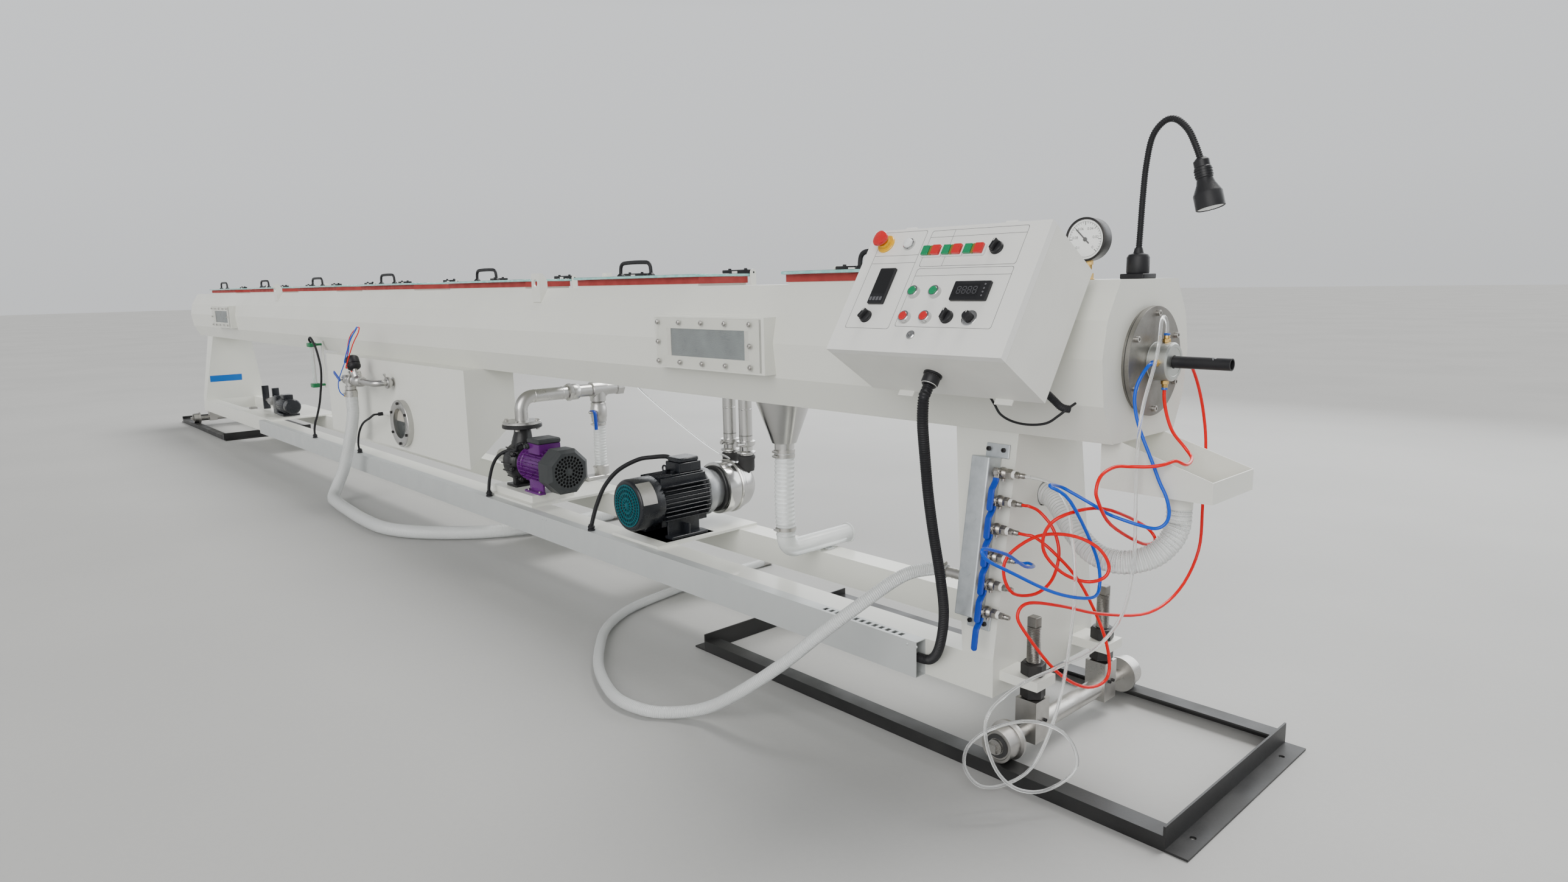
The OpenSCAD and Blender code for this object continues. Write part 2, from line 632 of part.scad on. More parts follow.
// GAUGE AND LAMP on the deck
gauge_at = [-130, -50, deck_z + 94];
dial_r = 50;
module vacuum_gauge() color("silver") machine() {
    rod_y([gauge_at[1] - 22, gauge_at[1] + 14], gauge_at[0], gauge_at[2], dial_r);
    rod_z([deck_z, gauge_at[2] - dial_r + 6], gauge_at[0], gauge_at[1], 8);
    rod_z([deck_z, deck_z + 22], gauge_at[0], gauge_at[1], 14);
}
neck_foot = [-33, 59];
neck_line = [neck_foot, [-31, 109], [-28, 189], [-23, 259], [-11, 319], [15, 349], [42, 350], [70, 325], [89, 289],
    [103, 254]];
neck_points = [for (p = neck_line) [p[0], 0, deck_z + p[1]]];
module work_lamp() color("dimgray") machine() {
    span([-62, -2], [-32, 32], [deck_z, deck_z + 6]);
    rod_z([deck_z + 6, deck_z + neck_foot[1]], neck_foot[0], 0, 26);
    sweep(neck_points, 7, 8, 2);
    translate(neck_points[len(neck_points) - 1]) rotate([0, 180 - atan2(28, 108), 0]) {
        translate([0, 0, -3]) cylinder(h = 48, r = 17);
        translate([0, 0, 45]) cylinder(h = 62, r1 = 17, r2 = 32);
    }
}

// WATER PUMP: black casing, finned motor and the discharge pipe
pump_y = -110;
pump_z = 405;
pump_foot = beam_top + plate_t;
module water_pump() color("dimgray") machine() {
    translate([pump_x, pump_y, pump_z]) rotate([0, 90, 0]) rotate_extrude() polygon([[0, -45], [78, -45], [90, -36],
        [95, -20], [95, 20], [90, 36], [78, 45], [0, 45]]);
    rod_x([-3150, pump_x - 45], pump_y, pump_z, 38);
    rod_x([-3165, -3150], pump_y, pump_z, 62);
    rod_x([pump_x + 45, pump_x + 75], pump_y, pump_z, 75);
    rod_z([pump_z, 560], pump_x, pump_y, 36);
    rod_z([560, 578], pump_x, pump_y, 90);
    span([pump_x - 50, pump_x + 40], [pump_y - 70, pump_y + 70], [pump_foot, pump_foot + 12]);
    span([pump_x - 12, pump_x + 12], [pump_y - 60, pump_y + 60], [pump_foot, pump_z - 60]);
}
motor_r = 68;
module fins(r, n, h) for (a = [0 : 360 / n : 359]) rotate([0, 0, a]) translate([r - 2, -1.5, 0]) cube([12, 3, h]);
module water_pump_motor() color("indigo") machine() {
    x0 = pump_x + 75;
    translate([x0, pump_y, pump_z]) rotate([0, 90, 0]) {
        cylinder(h = 16, r = 80);
        cylinder(h = 250, r = motor_r);
        translate([0, 0, 20]) fins(motor_r, 24, 210);
        translate([0, 0, 235]) cylinder(h = 82, r = 84, $fn = 8);
        translate([0, 0, 317]) cylinder(h = 13, r1 = 84, r2 = 72, $fn = 8);
    }
    span([x0 + 70, x0 + 170], [pump_y - 55, pump_y + 55], [pump_z + motor_r - 6, pump_z + motor_r + 62]);
    for (s = [-1, 1]) span([x0 + 60, x0 + 200], [pump_y + s * 62 - 16, pump_y + s * 62 + 16], [pump_foot, pump_foot + 10]);
    for (s = [-1, 1]) span([x0 + 70, x0 + 190], [pump_y + s * 50 - 6, pump_y + s * 50 + 6], [pump_foot, pump_z - 40]);
}
out_z = axis_h - 300;
out_r = 30;
out_bend = 60;
drop_y = base_hw + 60;
module discharge_pipe() color("silver") machine() {
    rod_z([578, 592], pump_x, pump_y, 88);
    rod_z([592, out_z - out_bend], pump_x, pump_y, out_r);
    translate([pump_x, pump_y + out_bend, out_z - out_bend]) rotate([0, -90, 0]) rotate([0, 0, -90]) bend(out_bend, out_r);
    rod_y([pump_y + out_bend, drop_y + 120], pump_x, out_z, out_r);
    rod_y([130, 190], pump_x, out_z, 42);
    rod_y([drop_y - 40, drop_y + 40], pump_x, out_z, 38);
    rod_y([drop_y + 100, drop_y + 140], pump_x, out_z, 36);
    rod_z([out_z - 100, out_z], pump_x, drop_y, 34);
    rod_z([out_z - 155, out_z - 60], pump_x, drop_y, 40);
    rod_z([pump_foot + 40, out_z - 155], pump_x, drop_y, out_r);
    rod_z([pump_foot, pump_foot + 70], pump_x, drop_y, 36);
    span([pump_x - 36, pump_x + 36], [base_hw - 40, drop_y + 30], [pump_foot, pump_foot + 20]);
}

// VACUUM PUMP: finned motor, liquid ring head and the pipes to the tank
vac_z = 395;
module vacuum_pump_motor() color("dimgray") machine() {
    translate([vac_x, -270, vac_z]) rotate([-90, 0, 0]) {
        rotate_extrude() polygon([[0, 0], [84, 0], [94, 5], [98, 15], [98, 70], [0, 70]]);
        cylinder(h = 400, r = 84);
        translate([0, 0, 70]) fins(84, 28, 260);
        translate([0, 0, 330]) cylinder(h = 60, r = 96);
    }
    span([vac_x - 60, vac_x + 60], [-130, 0], [vac_z + 78, vac_z + 150]);
    for (s = [-1, 1]) {
        span([vac_x + s * 92 - 18, vac_x + s * 92 + 18], [-150, 16], [pump_foot, pump_foot + 12]);
        span([vac_x + s * 80 - 6, vac_x + s * 80 + 6], [-140, 6], [pump_foot, vac_z - 20]);
    }
}
head_y = [130, 305];
port_y = 270;
port_dx = 50;
port_r = 31;
module vacuum_pump_head() color("silver") machine() {
    rod_y([head_y[0], head_y[0] + 40], vac_x, vac_z, 100);
    rod_y([head_y[0] + 40, head_y[1]], vac_x, vac_z, 88);
    for (s = [-1, 1]) rod_z([vac_z, vac_z + 130], vac_x + s * port_dx, port_y, port_r - 2);
    for (s = [-1, 1]) rod_z([vac_z + 110, vac_z + 130], vac_x + s * port_dx, port_y, port_r + 8);
}
vent_z = axis_h - 60;
vent_bend = 40;
module vacuum_pipes() color("silver") machine() {
    for (s = [-1, 1]) {
        rod_z([vac_z + 130, vent_z], vac_x + s * port_dx, port_y, port_r - 4);
        rod_z([vac_z + 160, vac_z + 200], vac_x + s * port_dx, port_y, port_r + 6);
    }
    translate([vac_x - port_dx, port_y - vent_bend, vent_z]) rotate([90, 0, 90]) bend(vent_bend, port_r - 4);
    translate([vac_x + port_dx, port_y + vent_bend, vent_z]) rotate([90, 0, -90]) bend(vent_bend, port_r - 4);
    side = [hip[0], axis_h - hip[1]];
    up = [belly[0], axis_h + belly[1]];
    z = vent_z + vent_bend;
    difference() {
        rod_y([side_y(side, up, z) - 20, port_y - vent_bend], vac_x - port_dx, z, port_r - 4);
        machine_free_tank();
    }
}
module machine_free_tank() along_x([-tank_l, 0]) polygon(outline);

// DRAIN under the tank
cone_z = tank_bottom - 153;
cone_r = [42, 137];
drain_z = beam_top + 35 + 1;
module drain_cone() color("gainsboro") machine() translate([drain_x, 0, 0]) difference() {
    union() {
        translate([0, 0, cone_z]) cylinder(h = tank_bottom - cone_z, r1 = cone_r[0], r2 = cone_r[1]);
        rod_z([cone_z - 45, cone_z], 0, 0, 34);
    }
    translate([0, 0, cone_z]) cylinder(h = tank_bottom - cone_z + 1, r1 = cone_r[0] - 4, r2 = cone_r[1] - 4);
    rod_z([cone_z - 45 - over, cone_z + 5], 0, 0, 30);
}
drain_bend = 45;
module drain_pipe() color("whitesmoke") machine() {
    z1 = cone_z - 45;
    rod_z([drain_z + drain_bend + 70, z1], drain_x, 0, 31);
    rod_z([drain_z + drain_bend, drain_z + drain_bend + 70], drain_x, 0, 35);
    translate([drain_x, drain_bend, drain_z + drain_bend]) rotate([90, 0, 90]) mirror([1, 0, 0]) mirror([0, 1, 0])
        bend(drain_bend, 35);
    rod_y([drain_bend, base_hw + 70], drain_x, drain_z, 35);
    span([drain_x - 30, drain_x + 30], [base_hw - 60, base_hw - 30], [beam_top, drain_z]);
}

// VALVE MANIFOLD on the front of the near column
column_lean = atan((base_hw - column_top_hw) / (tank_bottom - beam_top));
module on_column() machine() translate([0, -base_hw, beam_top]) rotate([-column_lean, 0, 0]) children();
manifold_x = [-345, -290];
manifold_v = [105, 510];
manifold_d = 55;
valve_pitch = 70;
valve_low = 124;
valve_d = 27;
stem_x = -268;
lever_d = 47;
function valve_v(i) = valve_low + valve_pitch * (5 - i);
module valve_manifold() color("silver") on_column() {
    span(manifold_x, [-manifold_d, 0], manifold_v);
    for (v = [manifold_v[0] - 34, manifold_v[1] - 1]) span([manifold_x[0] + 8, manifold_x[1] + 22], [-5, 0], [v, v + 35]);
    for (i = [0 : 5]) {
        v = valve_v(i);
        rod_x([manifold_x[1] - 1, -200], -valve_d, v, 6);
        rod_x([-284, -246], -valve_d, v, 13);
        rod_x([-246, -222], -valve_d, v, 11);
        rod_x([-222, -206], -valve_d, v, 9);
        rod_y([-lever_d, -valve_d], stem_x, v, 5);
    }
    rod_x([manifold_x[0] - 55, manifold_x[0] + 1], -valve_d, 198, supply_hose_d / 2 - 3);
    rod_x([manifold_x[0] - 20, manifold_x[0] + 1], -valve_d, 198, supply_hose_d / 2 + 4);
}
lever_l = 96;
lever_w = 14;
lever_t = 3;
lever_lift = 14;
// A cranked lever hanging down its valve, as a side profile carried across its width
module lever(i) color("royalblue") on_column() translate([stem_x, -lever_d - seat, valve_v(i)])
    along_x([-lever_w / 2, lever_w / 2]) polygon([[0, 9], [0, -18], [-lever_lift, -42], [-lever_lift, -lever_l],
        [-lever_lift - lever_t, -lever_l], [-lever_lift - lever_t, -41], [-lever_t, -17], [-lever_t, 9]]);

// CATCH TRAY under the inlet
catch_x = [-50, 215];
catch_hw = 108;
catch_z = tank_bottom - 115;
catch_front = 49;
catch_wall = 2;
stub_at = [115, -45];
function catch_xz(t, up) = [[catch_x[0] + t, catch_z + t], [catch_x[1] - t, catch_z + t], [catch_x[1] - t, catch_z + catch_front + up],
    [0, tank_bottom + up], [catch_x[0] + t, tank_bottom + up]];
module catch_tray() color("gainsboro") machine() difference() {
    union() {
        along_y([-catch_hw, catch_hw]) polygon(catch_xz(0, 0));
        rod_z([catch_z - 33, catch_z + 1], stub_at[0], stub_at[1], tray_hose_d / 2);
    }
    along_y([-catch_hw + catch_wall, catch_hw - catch_wall]) polygon(catch_xz(catch_wall, 20));
    rod_z([catch_z - 33 - over, catch_z + 5], stub_at[0], stub_at[1], tray_hose_d / 2 - 4);
}

// TRAVEL DRIVE between the beams near the outlet end
drive_y = -60;
drive_z = 335;
module travel_drive() color("dimgray") machine() {
    translate([drive_x, 0, 0]) {
        rod_x([-260, 0], drive_y, drive_z, 58);
        span([-360, -250], [drive_y - 50, drive_y + 50], [pump_foot, drive_z + 60]);
        rod_x([-770, -350], drive_y, drive_z, 13);
        translate([-590, drive_y, drive_z]) rotate([0, 90, 0]) rotate_extrude() polygon([[0, 0], [24, 0], [32, 10],
            [34, 45], [32, 80], [24, 90], [0, 90]]);
        for (x = [-450, -740]) span([x, x + 22], [drive_y - 25, drive_y + 25], [pump_foot, drive_z + 115]);
        span([-230, -60], [drive_y - 60, drive_y + 60], [pump_foot, drive_z - 40]);
    }
}

// A tube swept along hand-set points: the route is smoothed, and each ring is carried on from the last
function smooth(a, b, c, d, t) = 0.5 * (2 * b + (c - a) * t + (2 * a - 5 * b + 4 * c - d) * t * t
    + (3 * b - a - 3 * c + d) * t * t * t);
function route(p, n) = let (k = len(p) - 1) concat([for (i = [0 : k - 1], j = [0 : n - 1])
    smooth(p[max(i - 1, 0)], p[i], p[i + 1], p[min(i + 2, k)], j / n)], [p[k]]);
function heading(p, i) = let (k = len(p) - 1) unit(p[min(i + 1, k)] - p[max(i - 1, 0)]);
function carried(u, t) = unit(u - (u * t) * t);
function sides(p, i, u, out) = i == len(p) ? out
    : let (v = carried(u, heading(p, i))) sides(p, i + 1, v, concat(out, [v]));
module sweep(points, r, n, steps) {
    p = route(points, steps);
    t0 = heading(p, 0);
    u = sides(p, 0, carried(abs(t0[2]) > 0.9 ? [1, 0, 0] : [0, 0, 1], t0), []);
    rings = [for (i = [0 : len(p) - 1], j = [0 : n - 1])
        p[i] + r * (cos(360 * j / n) * u[i] + sin(360 * j / n) * cross(heading(p, i), u[i]))];
    last = n * (len(p) - 1);
    polyhedron(rings, concat([[for (j = [0 : n - 1]) j]], [[for (j = [n - 1 : -1 : 0]) last + j]],
        [for (i = [0 : len(p) - 2], j = [0 : n - 1]) let (a = i * n + j, b = i * n + (j + 1) % n)
            each [[a, a + n, b], [b, a + n, b + n]]]));
}

// Routes of the tubes and hoses, from the fitting on
clear_points = [[45, 0, 1066.5], [45, -2, 1088], [45, -20, 1105], [50, -42, 1092], [58, -64, 1050], [60, -88, 995],
    [56, -128, 895], [56, -142, 770], [60, -142, 615], [58, -144, 525], [40, -150, 420], [0, -190, 340],
    [-40, -285, 310], [-60, -405, 300], [-80, -495, 260], [-80, -510, 200], [-60, -495, 125], [-30, -460, 80],
    [0, -395, 62], [40, -345, 100], [40, -335, 145], [20, -365, 200], [-30, -415, 225], [-80, -485, 215],
    [-120, -520, 170], [-130, -515, 110], [-110, -485, 65], [-80, -435, 60], [-40, -385, 100], [-30, -320, 185],
    [-30, -275, 285], [-30, -250, 395], [-30, -240, 505], [-50, -225, 600], [-80, -200, 670], [-130, -185, 712]];
red_low_points = [[45, 0, 933.5], [46, 0, 910], [52, 5, 872], [66, 10, 834], [86, 28, 800], [107, 20, 780],
    [124, -20, 775], [134, -68, 777], [128, -104, 790], [114, -134, 784], [90, -152, 779], [58, -172, 778],
    [36, -202, 779], [28, -245, 766], [28, -266, 740], [30, -262, 712], [30, -200, 645], [40, -65, 575],
    [45, -10, 575], [20, -30, 612], [0, -185, 675], [-40, -280, 670], [-70, -305, 635], [-80, -295, 580],
    [-60, -250, 525], [-25, -205, 500], [13, -191, 514], [18, -178, 542], [0, -200, 586], [-48, -234, 612],
    [-100, -290, 612], [-135, -350, 575], [-140, -365, 530], [-130, -340, 480], [-115, -270, 465],
    [-105, -215, 490], [-110, -180, 545], [-130, -175, 600], [-165, -180, 638]];
red_side_points = [[45, 66.5, 1000], [45, 90, 1000], [40, 140, 985], [35, 200, 930], [32, 250, 850], [30, 280, 755],
    [30, 280, 605], [30, 270, 485], [20, 190, 395], [0, 65, 360], [-30, -110, 395], [-65, -240, 440],
    [-90, -335, 465], [-100, -365, 445], [-90, -355, 405], [-60, -265, 290], [-40, -170, 225], [-30, -90, 215],
    [-30, -65, 255], [-40, -90, 350], [-70, -150, 475], [-110, -200, 550], [-160, -205, 580]];
blue_points = [[45, -66.5, 1000], [44, -82, 996], [38, -100, 975], [33, -112, 950], [32, -117, 920],
    [40, -119, 880], [54, -119, 842], [80, -120, 787], [101, -121, 741], [118, -121, 709], [127, -122, 675],
    [122, -127, 650], [105, -140, 638], [76, -163, 646], [39, -176, 656], [16, -189, 666], [6, -226, 688],
    [-39, -241, 712], [-64, -263, 730], [-45, -335, 745],
    [-20, -290, 706], [-18, -174, 560], [-12, -162, 480], [-10, -210, 465], [-40, -310, 495], [-80, -425, 560],
    [-100, -490, 600], [-108, -490, 622], [-110, -400, 590], [-120, -310, 540], [-140, -240, 520],
    [-170, -215, 516]];
tray_hose_points = [[115, -45, 669.5], [115, -45, 650], [114, -46, 628], [105, -62, 592], [75, -88, 555], [15, -115, 535],
    [-50, -122, 545], [-110, -105, 580], [-170, -66, 618], [-212, -36, 638], [-240, -27, 645], [-262, -26, 645]];
supply_points = [[-400.5, -235, 449.8], [-422, -235, 449.8], [-444, -243, 449], [-478, -320, 440], [-530, -430, 375], [-595, -510, 300],
    [-680, -570, 210], [-800, -620, 110], [-900, -650, 45], [-985, -700, 19], [-1060, -750, 18],
    [-1193, -760, 18], [-1391, -690, 18], [-1560, -583, 18], [-1699, -465, 18], [-1800, -301, 18],
    [-1850, -80, 18], [-1875, 120, 18], [-1880, 280, 18], [-1880, 400, 18], [-1880, 419.5, 18]];
tank_hose_points = [[-4475, -350, 611.5], [-4475, -350, 560], [-4477, -351, 510], [-4500, -370, 380], [-4560, -400, 200],
    [-4590, -440, 90], [-4540, -480, 40], [-4400, -500, 34], [-4161, -520, 34], [-3900, -535, 34],
    [-3650, -525, 34], [-3448, -447, 34], [-3260, -290, 34], [-3142, -112, 34], [-3070, 120, 34],
    [-3060, 280, 34], [-3060, 400, 34], [-3060, 419.5, 34]];
module valve_end(points, i) sweep(concat(points, [valve_mouth(i, 20), valve_mouth(i, 10), valve_mouth(i, 0.1)]), tube_d / 2, 8, 2);
function valve_mouth(i, out) = let (v = valve_v(i)) [-200 + out, -base_hw + v * sin(column_lean)
    - valve_d * cos(column_lean), beam_top + v * cos(column_lean) + valve_d * sin(column_lean)];
module clear_tube() color("aliceblue") machine() valve_end(clear_points, 0);
module red_tube_low() color("red") machine() valve_end(red_low_points, 1);
module red_tube_side() color("red") machine() valve_end(red_side_points, 2);
module blue_tube() color("blue") machine() valve_end(blue_points, 3);
module tray_hose() color("aliceblue") machine() sweep(tray_hose_points, tray_hose_d / 2, 12, 3);
module supply_hose() color("dimgray") machine() sweep(supply_points, supply_hose_d / 2, 10, 2);
module tank_hose() color("whitesmoke") machine() sweep(tank_hose_points, tank_hose_d / 2, 12, 2);
module hose_couplings() color("silver") machine() {
    end_a = supply_points[len(supply_points) - 1];
    end_b = tank_hose_points[len(tank_hose_points) - 1];
    translate(end_a) rod_y([0.5, 50], 0, 0, supply_hose_d / 2 + 0.9);
    translate(end_b) rod_y([0.5, 80], 0, 0, tank_hose_d / 2 + 1.9);
}

// WIRING that the machine holds at both ends
conduit_points = [[-280, -466, 964], [-280, -475.8, 948.9], [-280, -484, 935], [-289, -476, 880], [-303, -450, 800], [-312, -425, 700],
    [-320, -395, 600], [-325, -360, 480], [-340, -325, 370], [-380, -290, 265], [-430, -262, 208], [-480, -260, 200]];
pump_lead_points = [[-2790, -165.5, 505], [-2790, -180, 505], [-2790, -194, 501], [-2785, -245, 430],
    [-2780, -262, 330], [-2780, -262, 290], [-2780, -262, 250.5]];
vacuum_lead_points = [[-1900.5, -65, 520], [-1916, -65, 520], [-1931, -70, 519], [-1960, -150, 480],
    [-1990, -230, 380], [-2000, -262, 310], [-2000, -262, 280], [-2000, -262, 250.5]];
sensor_lead_points = [[-4200, -310.5, 530], [-4200, -325, 530], [-4202, -338, 525], [-4230, -345, 450],
    [-4250, -310, 350], [-4255, -266, 300], [-4255, -262, 275], [-4255, -262, 250.5]];
module wiring() color("black") machine() {
    sweep(conduit_points, 13, 10, 2);
    sweep(pump_lead_points, 8, 8, 2);
    sweep(vacuum_lead_points, 8, 8, 2);
    sweep(sensor_lead_points, 6, 8, 2);
}

near_track();
far_track();
base_frame();
near_pedestal();
far_pedestal();
jack_screws();
axles();
near_wheels();
far_wheels();
tank_trough();
tank_deck();
end_plates();
lid_gaskets();
window_panes();
inlet_flange();
calibrator();
inlet_tube();
water_box();
sight_flange();
fill_valve();
level_gauges();
cable_tray();
cabinet_box();
cabinet_door();
door_controls();
vacuum_gauge();
work_lamp();
water_pump();
water_pump_motor();
discharge_pipe();
vacuum_pump_motor();
vacuum_pump_head();
vacuum_pipes();
drain_cone();
drain_pipe();
valve_manifold();
catch_tray();
travel_drive();
wiring();
lid(0);  // lid_1
lid(1);  // lid_2
lid(2);  // lid_3
lid(3);  // lid_4
lid(4);  // lid_5
lid(5);  // lid_6
lid(6);  // lid_7
lever(0);  // lever_1
lever(1);  // lever_2
lever(2);  // lever_3
lever(3);  // lever_4
lever(4);  // lever_5
lever(5);  // lever_6
clear_tube();
red_tube_low();
red_tube_side();
blue_tube();
tray_hose();
supply_hose();
tank_hose();
hose_couplings();
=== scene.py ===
import math

import bmesh
import bpy
import numpy as np
from mathutils import Matrix, Vector
from mathutils.geometry import delaunay_2d_cdt


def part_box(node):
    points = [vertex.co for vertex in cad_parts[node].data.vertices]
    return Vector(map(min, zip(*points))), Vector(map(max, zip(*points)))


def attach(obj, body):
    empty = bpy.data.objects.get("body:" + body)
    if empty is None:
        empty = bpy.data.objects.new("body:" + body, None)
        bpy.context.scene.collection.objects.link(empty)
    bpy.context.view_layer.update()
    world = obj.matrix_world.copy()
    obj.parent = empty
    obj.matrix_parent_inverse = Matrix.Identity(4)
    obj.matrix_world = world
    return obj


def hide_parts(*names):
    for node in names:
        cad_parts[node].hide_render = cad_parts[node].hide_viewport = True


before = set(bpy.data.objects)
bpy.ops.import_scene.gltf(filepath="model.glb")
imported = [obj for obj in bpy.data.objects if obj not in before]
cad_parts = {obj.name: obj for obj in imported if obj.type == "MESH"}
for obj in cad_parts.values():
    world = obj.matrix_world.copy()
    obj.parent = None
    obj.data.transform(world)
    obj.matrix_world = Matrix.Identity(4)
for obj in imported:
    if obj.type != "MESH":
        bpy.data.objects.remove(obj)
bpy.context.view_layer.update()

# The camera stands where the photographer stood, at eye height beside the inlet end, and looks back
# along the tank. Its place is given in millimetres from the middle of the tank's inlet face.
inlet_x = float(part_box("end_plates")[1].x)


def row(points):
    """Millimetres from the middle of the inlet face, as metres in the shared frame."""
    return np.asarray(points, float) / 1000 + np.array([inlet_x, 0, 0])


eye = row([1052.4, -2138.1, 1200.3])
yaw, pitch, roll = np.radians([47.3817, -9.5940, -1.1220])
ahead = np.array([-math.sin(yaw) * math.cos(pitch), math.cos(yaw) * math.cos(pitch), math.sin(pitch)])
level = np.array([math.cos(yaw), math.sin(yaw), 0])
upright = np.cross(level, ahead)
turned_right = level * math.cos(roll) + upright * math.sin(roll)
turned_up = upright * math.cos(roll) - level * math.sin(roll)
camera = bpy.data.objects.new("camera", bpy.data.cameras.new("camera"))
bpy.context.scene.collection.objects.link(camera)
camera.data.sensor_width = 36
camera.data.lens = 21.64
camera.data.clip_end = 100
placed = np.eye(4)
placed[:3, :4] = np.column_stack([turned_right, turned_up, -ahead, eye])
camera.matrix_world = Matrix(placed.tolist())
bpy.context.scene.camera = camera


# The hall's light: a soft sun from the roof lights, a second one from the windows on the operator's
# side, one bright window row behind the machine that the polished steel mirrors, and a world that is
# brightest in a band above the horizon.
def daylight(name, kind, place, aim, power, colour, spread):
    """A sun that spans the given degrees, or a rectangle of light with the given sides."""
    light = bpy.data.lights.new(name, kind)
    light.energy = power
    light.color = colour
    if kind == "SUN":
        light.angle = math.radians(spread)
    else:
        light.shape = "RECTANGLE"
        light.size, light.size_y = spread
    holder = bpy.data.objects.new(name, light)
    bpy.context.scene.collection.objects.link(holder)
    holder.location = place
    holder.rotation_euler = (Vector(aim) - Vector(place)).to_track_quat("-Z", "Y").to_euler()


def connect(tree, node, inputs):
    """Link each named or numbered input of a node to a socket, or set its value."""
    for key, value in inputs.items():
        if isinstance(value, bpy.types.NodeSocket):
            tree.links.new(value, node.inputs[key])
        else:
            node.inputs[key].default_value = value


def adder(tree):
    """A function that adds a shader node to this tree, with its settings and its inputs."""
    def add(kind, inputs=None, **settings):
        node = tree.nodes.new("ShaderNode" + kind)
        for label, value in settings.items():
            setattr(node, label, value)
        connect(tree, node, inputs or {})
        return node
    return add


daylight("roof_light", "SUN", (0.6, 3.2, 6.0), (0, 0, 0), 3.0, (1, 0.99, 0.97), 30)
daylight("hall_windows", "SUN", (2.6, -6.0, 3.2), (0, 0, 0), 2.3, (1, 0.99, 0.97), 45)
daylight("window_row", "AREA", (-3.5, 6.0, 3.2), (-3.5, 0, 0.7), 420, (0.95, 0.98, 1), (14, 3.5))
world = bpy.data.worlds.new("hall")
bpy.context.scene.world = world
world.use_nodes = True
add = adder(world.node_tree)
height = add("SeparateXYZ", {0: add("TexCoord").outputs["Generated"]})
band = add("ValToRGB", {0: height.outputs["Z"]})
connect(world.node_tree, world.node_tree.nodes["Background"], {"Color": band.outputs[0], "Strength": 0.95})
shades = ((0.0, 0.86), (0.10, 0.95), (0.26, 1.0), (0.42, 0.50), (1.0, 0.20))
for place, shade in shades[1:-1]:
    band.color_ramp.elements.new(place)
for element, (place, shade) in zip(band.color_ramp.elements, shades):
    element.position = place
    element.color = (0.96 * shade, 0.98 * shade, shade, 1)


# What every surface shares: a film of slow patches and fine grain that changes its colour, roughness
# and height a little. The hall's screed floor has it too.
def new_group(name, inputs, outputs):
    """A node group with its sockets, each input with the value it has while none is given."""
    group = bpy.data.node_groups.new(name, "ShaderNodeTree")
    for label, kind, value in inputs:
        socket = group.interface.new_socket(name=label, in_out="INPUT", socket_type="NodeSocket" + kind)
        socket.default_value = value
    for label, kind in outputs:
        group.interface.new_socket(name=label, in_out="OUTPUT", socket_type="NodeSocket" + kind)
    given = group.nodes.new("NodeGroupInput").outputs
    return group, adder(group), given, group.nodes.new("NodeGroupOutput")


def film_group():
    """Colour, roughness and height of a surface, from one slow noise for patches and one fine for grain."""
    inputs = [("Color", "Color", (0.8, 0.8, 0.8, 1)), ("Tint", "Color", (0.6, 0.6, 0.6, 1)),
              ("Amount", "Float", 0.3), ("Patch", "Float", 4.0), ("Grain", "Float", 500.0),
              ("Stretch", "Vector", (1, 1, 1)), ("Roughness", "Float", 0.4), ("Spread", "Float", 0.1)]
    outputs = [("Color", "Color"), ("Roughness", "Float"), ("Height", "Float")]
    group, add, given, out = new_group("surface_film", inputs, outputs)
    place = add("TexCoord").outputs["Object"]
    stretched = add("VectorMath", {0: place, 1: given["Stretch"]}, operation="MULTIPLY")
    patch = add("TexNoise", {"Vector": place, "Scale": given["Patch"], "Detail": 5})
    grain = add("TexNoise", {"Vector": stretched.outputs[0], "Scale": given["Grain"], "Detail": 2})
    ramp = add("MapRange", {"Value": patch.outputs["Fac"], "From Min": 0.38, "From Max": 0.72})
    both = add("Math", {0: grain.outputs["Fac"], 1: 0.6, 2: ramp.outputs["Result"]},
               operation="MULTIPLY_ADD")
    share = add("Math", {0: both.outputs[0], 1: given["Amount"]}, operation="MULTIPLY", use_clamp=True)
    blend = add("Mix", {"Factor": share.outputs[0], 6: given["Color"], 7: given["Tint"]}, data_type="RGBA")
    rough = add("Math", {0: both.outputs[0], 1: given["Spread"], 2: given["Roughness"]},
                operation="MULTIPLY_ADD")
    connect(group, out, {"Color": blend.outputs[2], "Roughness": rough.outputs[0],
                         "Height": grain.outputs["Fac"]})
    return group


film = film_group()


def finish(name, colour, tint, amount=0.3, rough=0.4, spread=0.1, patch=4.0, grain=500.0, stretch=(1, 1, 1),
           relief=0.0001, metallic=0.0, coat=0.0, transmission=0.0, ior=1.5, alpha=1.0, mirror=0.5):
    """A material whose colour, roughness and fine relief come from the surface film."""
    material = bpy.data.materials.new(name)
    material.use_nodes = True
    tree = material.node_tree
    add = adder(tree)
    made = add("Group", {"Color": (*colour, 1), "Tint": (*tint, 1), "Amount": amount, "Patch": patch,
                         "Grain": grain, "Stretch": stretch, "Roughness": rough, "Spread": spread},
               node_tree=film)
    bump = add("Bump", {"Distance": relief, "Height": made.outputs["Height"]})
    surface = {"Base Color": made.outputs["Color"], "Roughness": made.outputs["Roughness"],
               "Normal": bump.outputs["Normal"], "Metallic": metallic, "Coat Weight": coat,
               "Transmission Weight": transmission, "IOR": ior, "Alpha": alpha,
               "Specular IOR Level": mirror}
    connect(tree, tree.nodes["Principled BSDF"], surface)
    return material


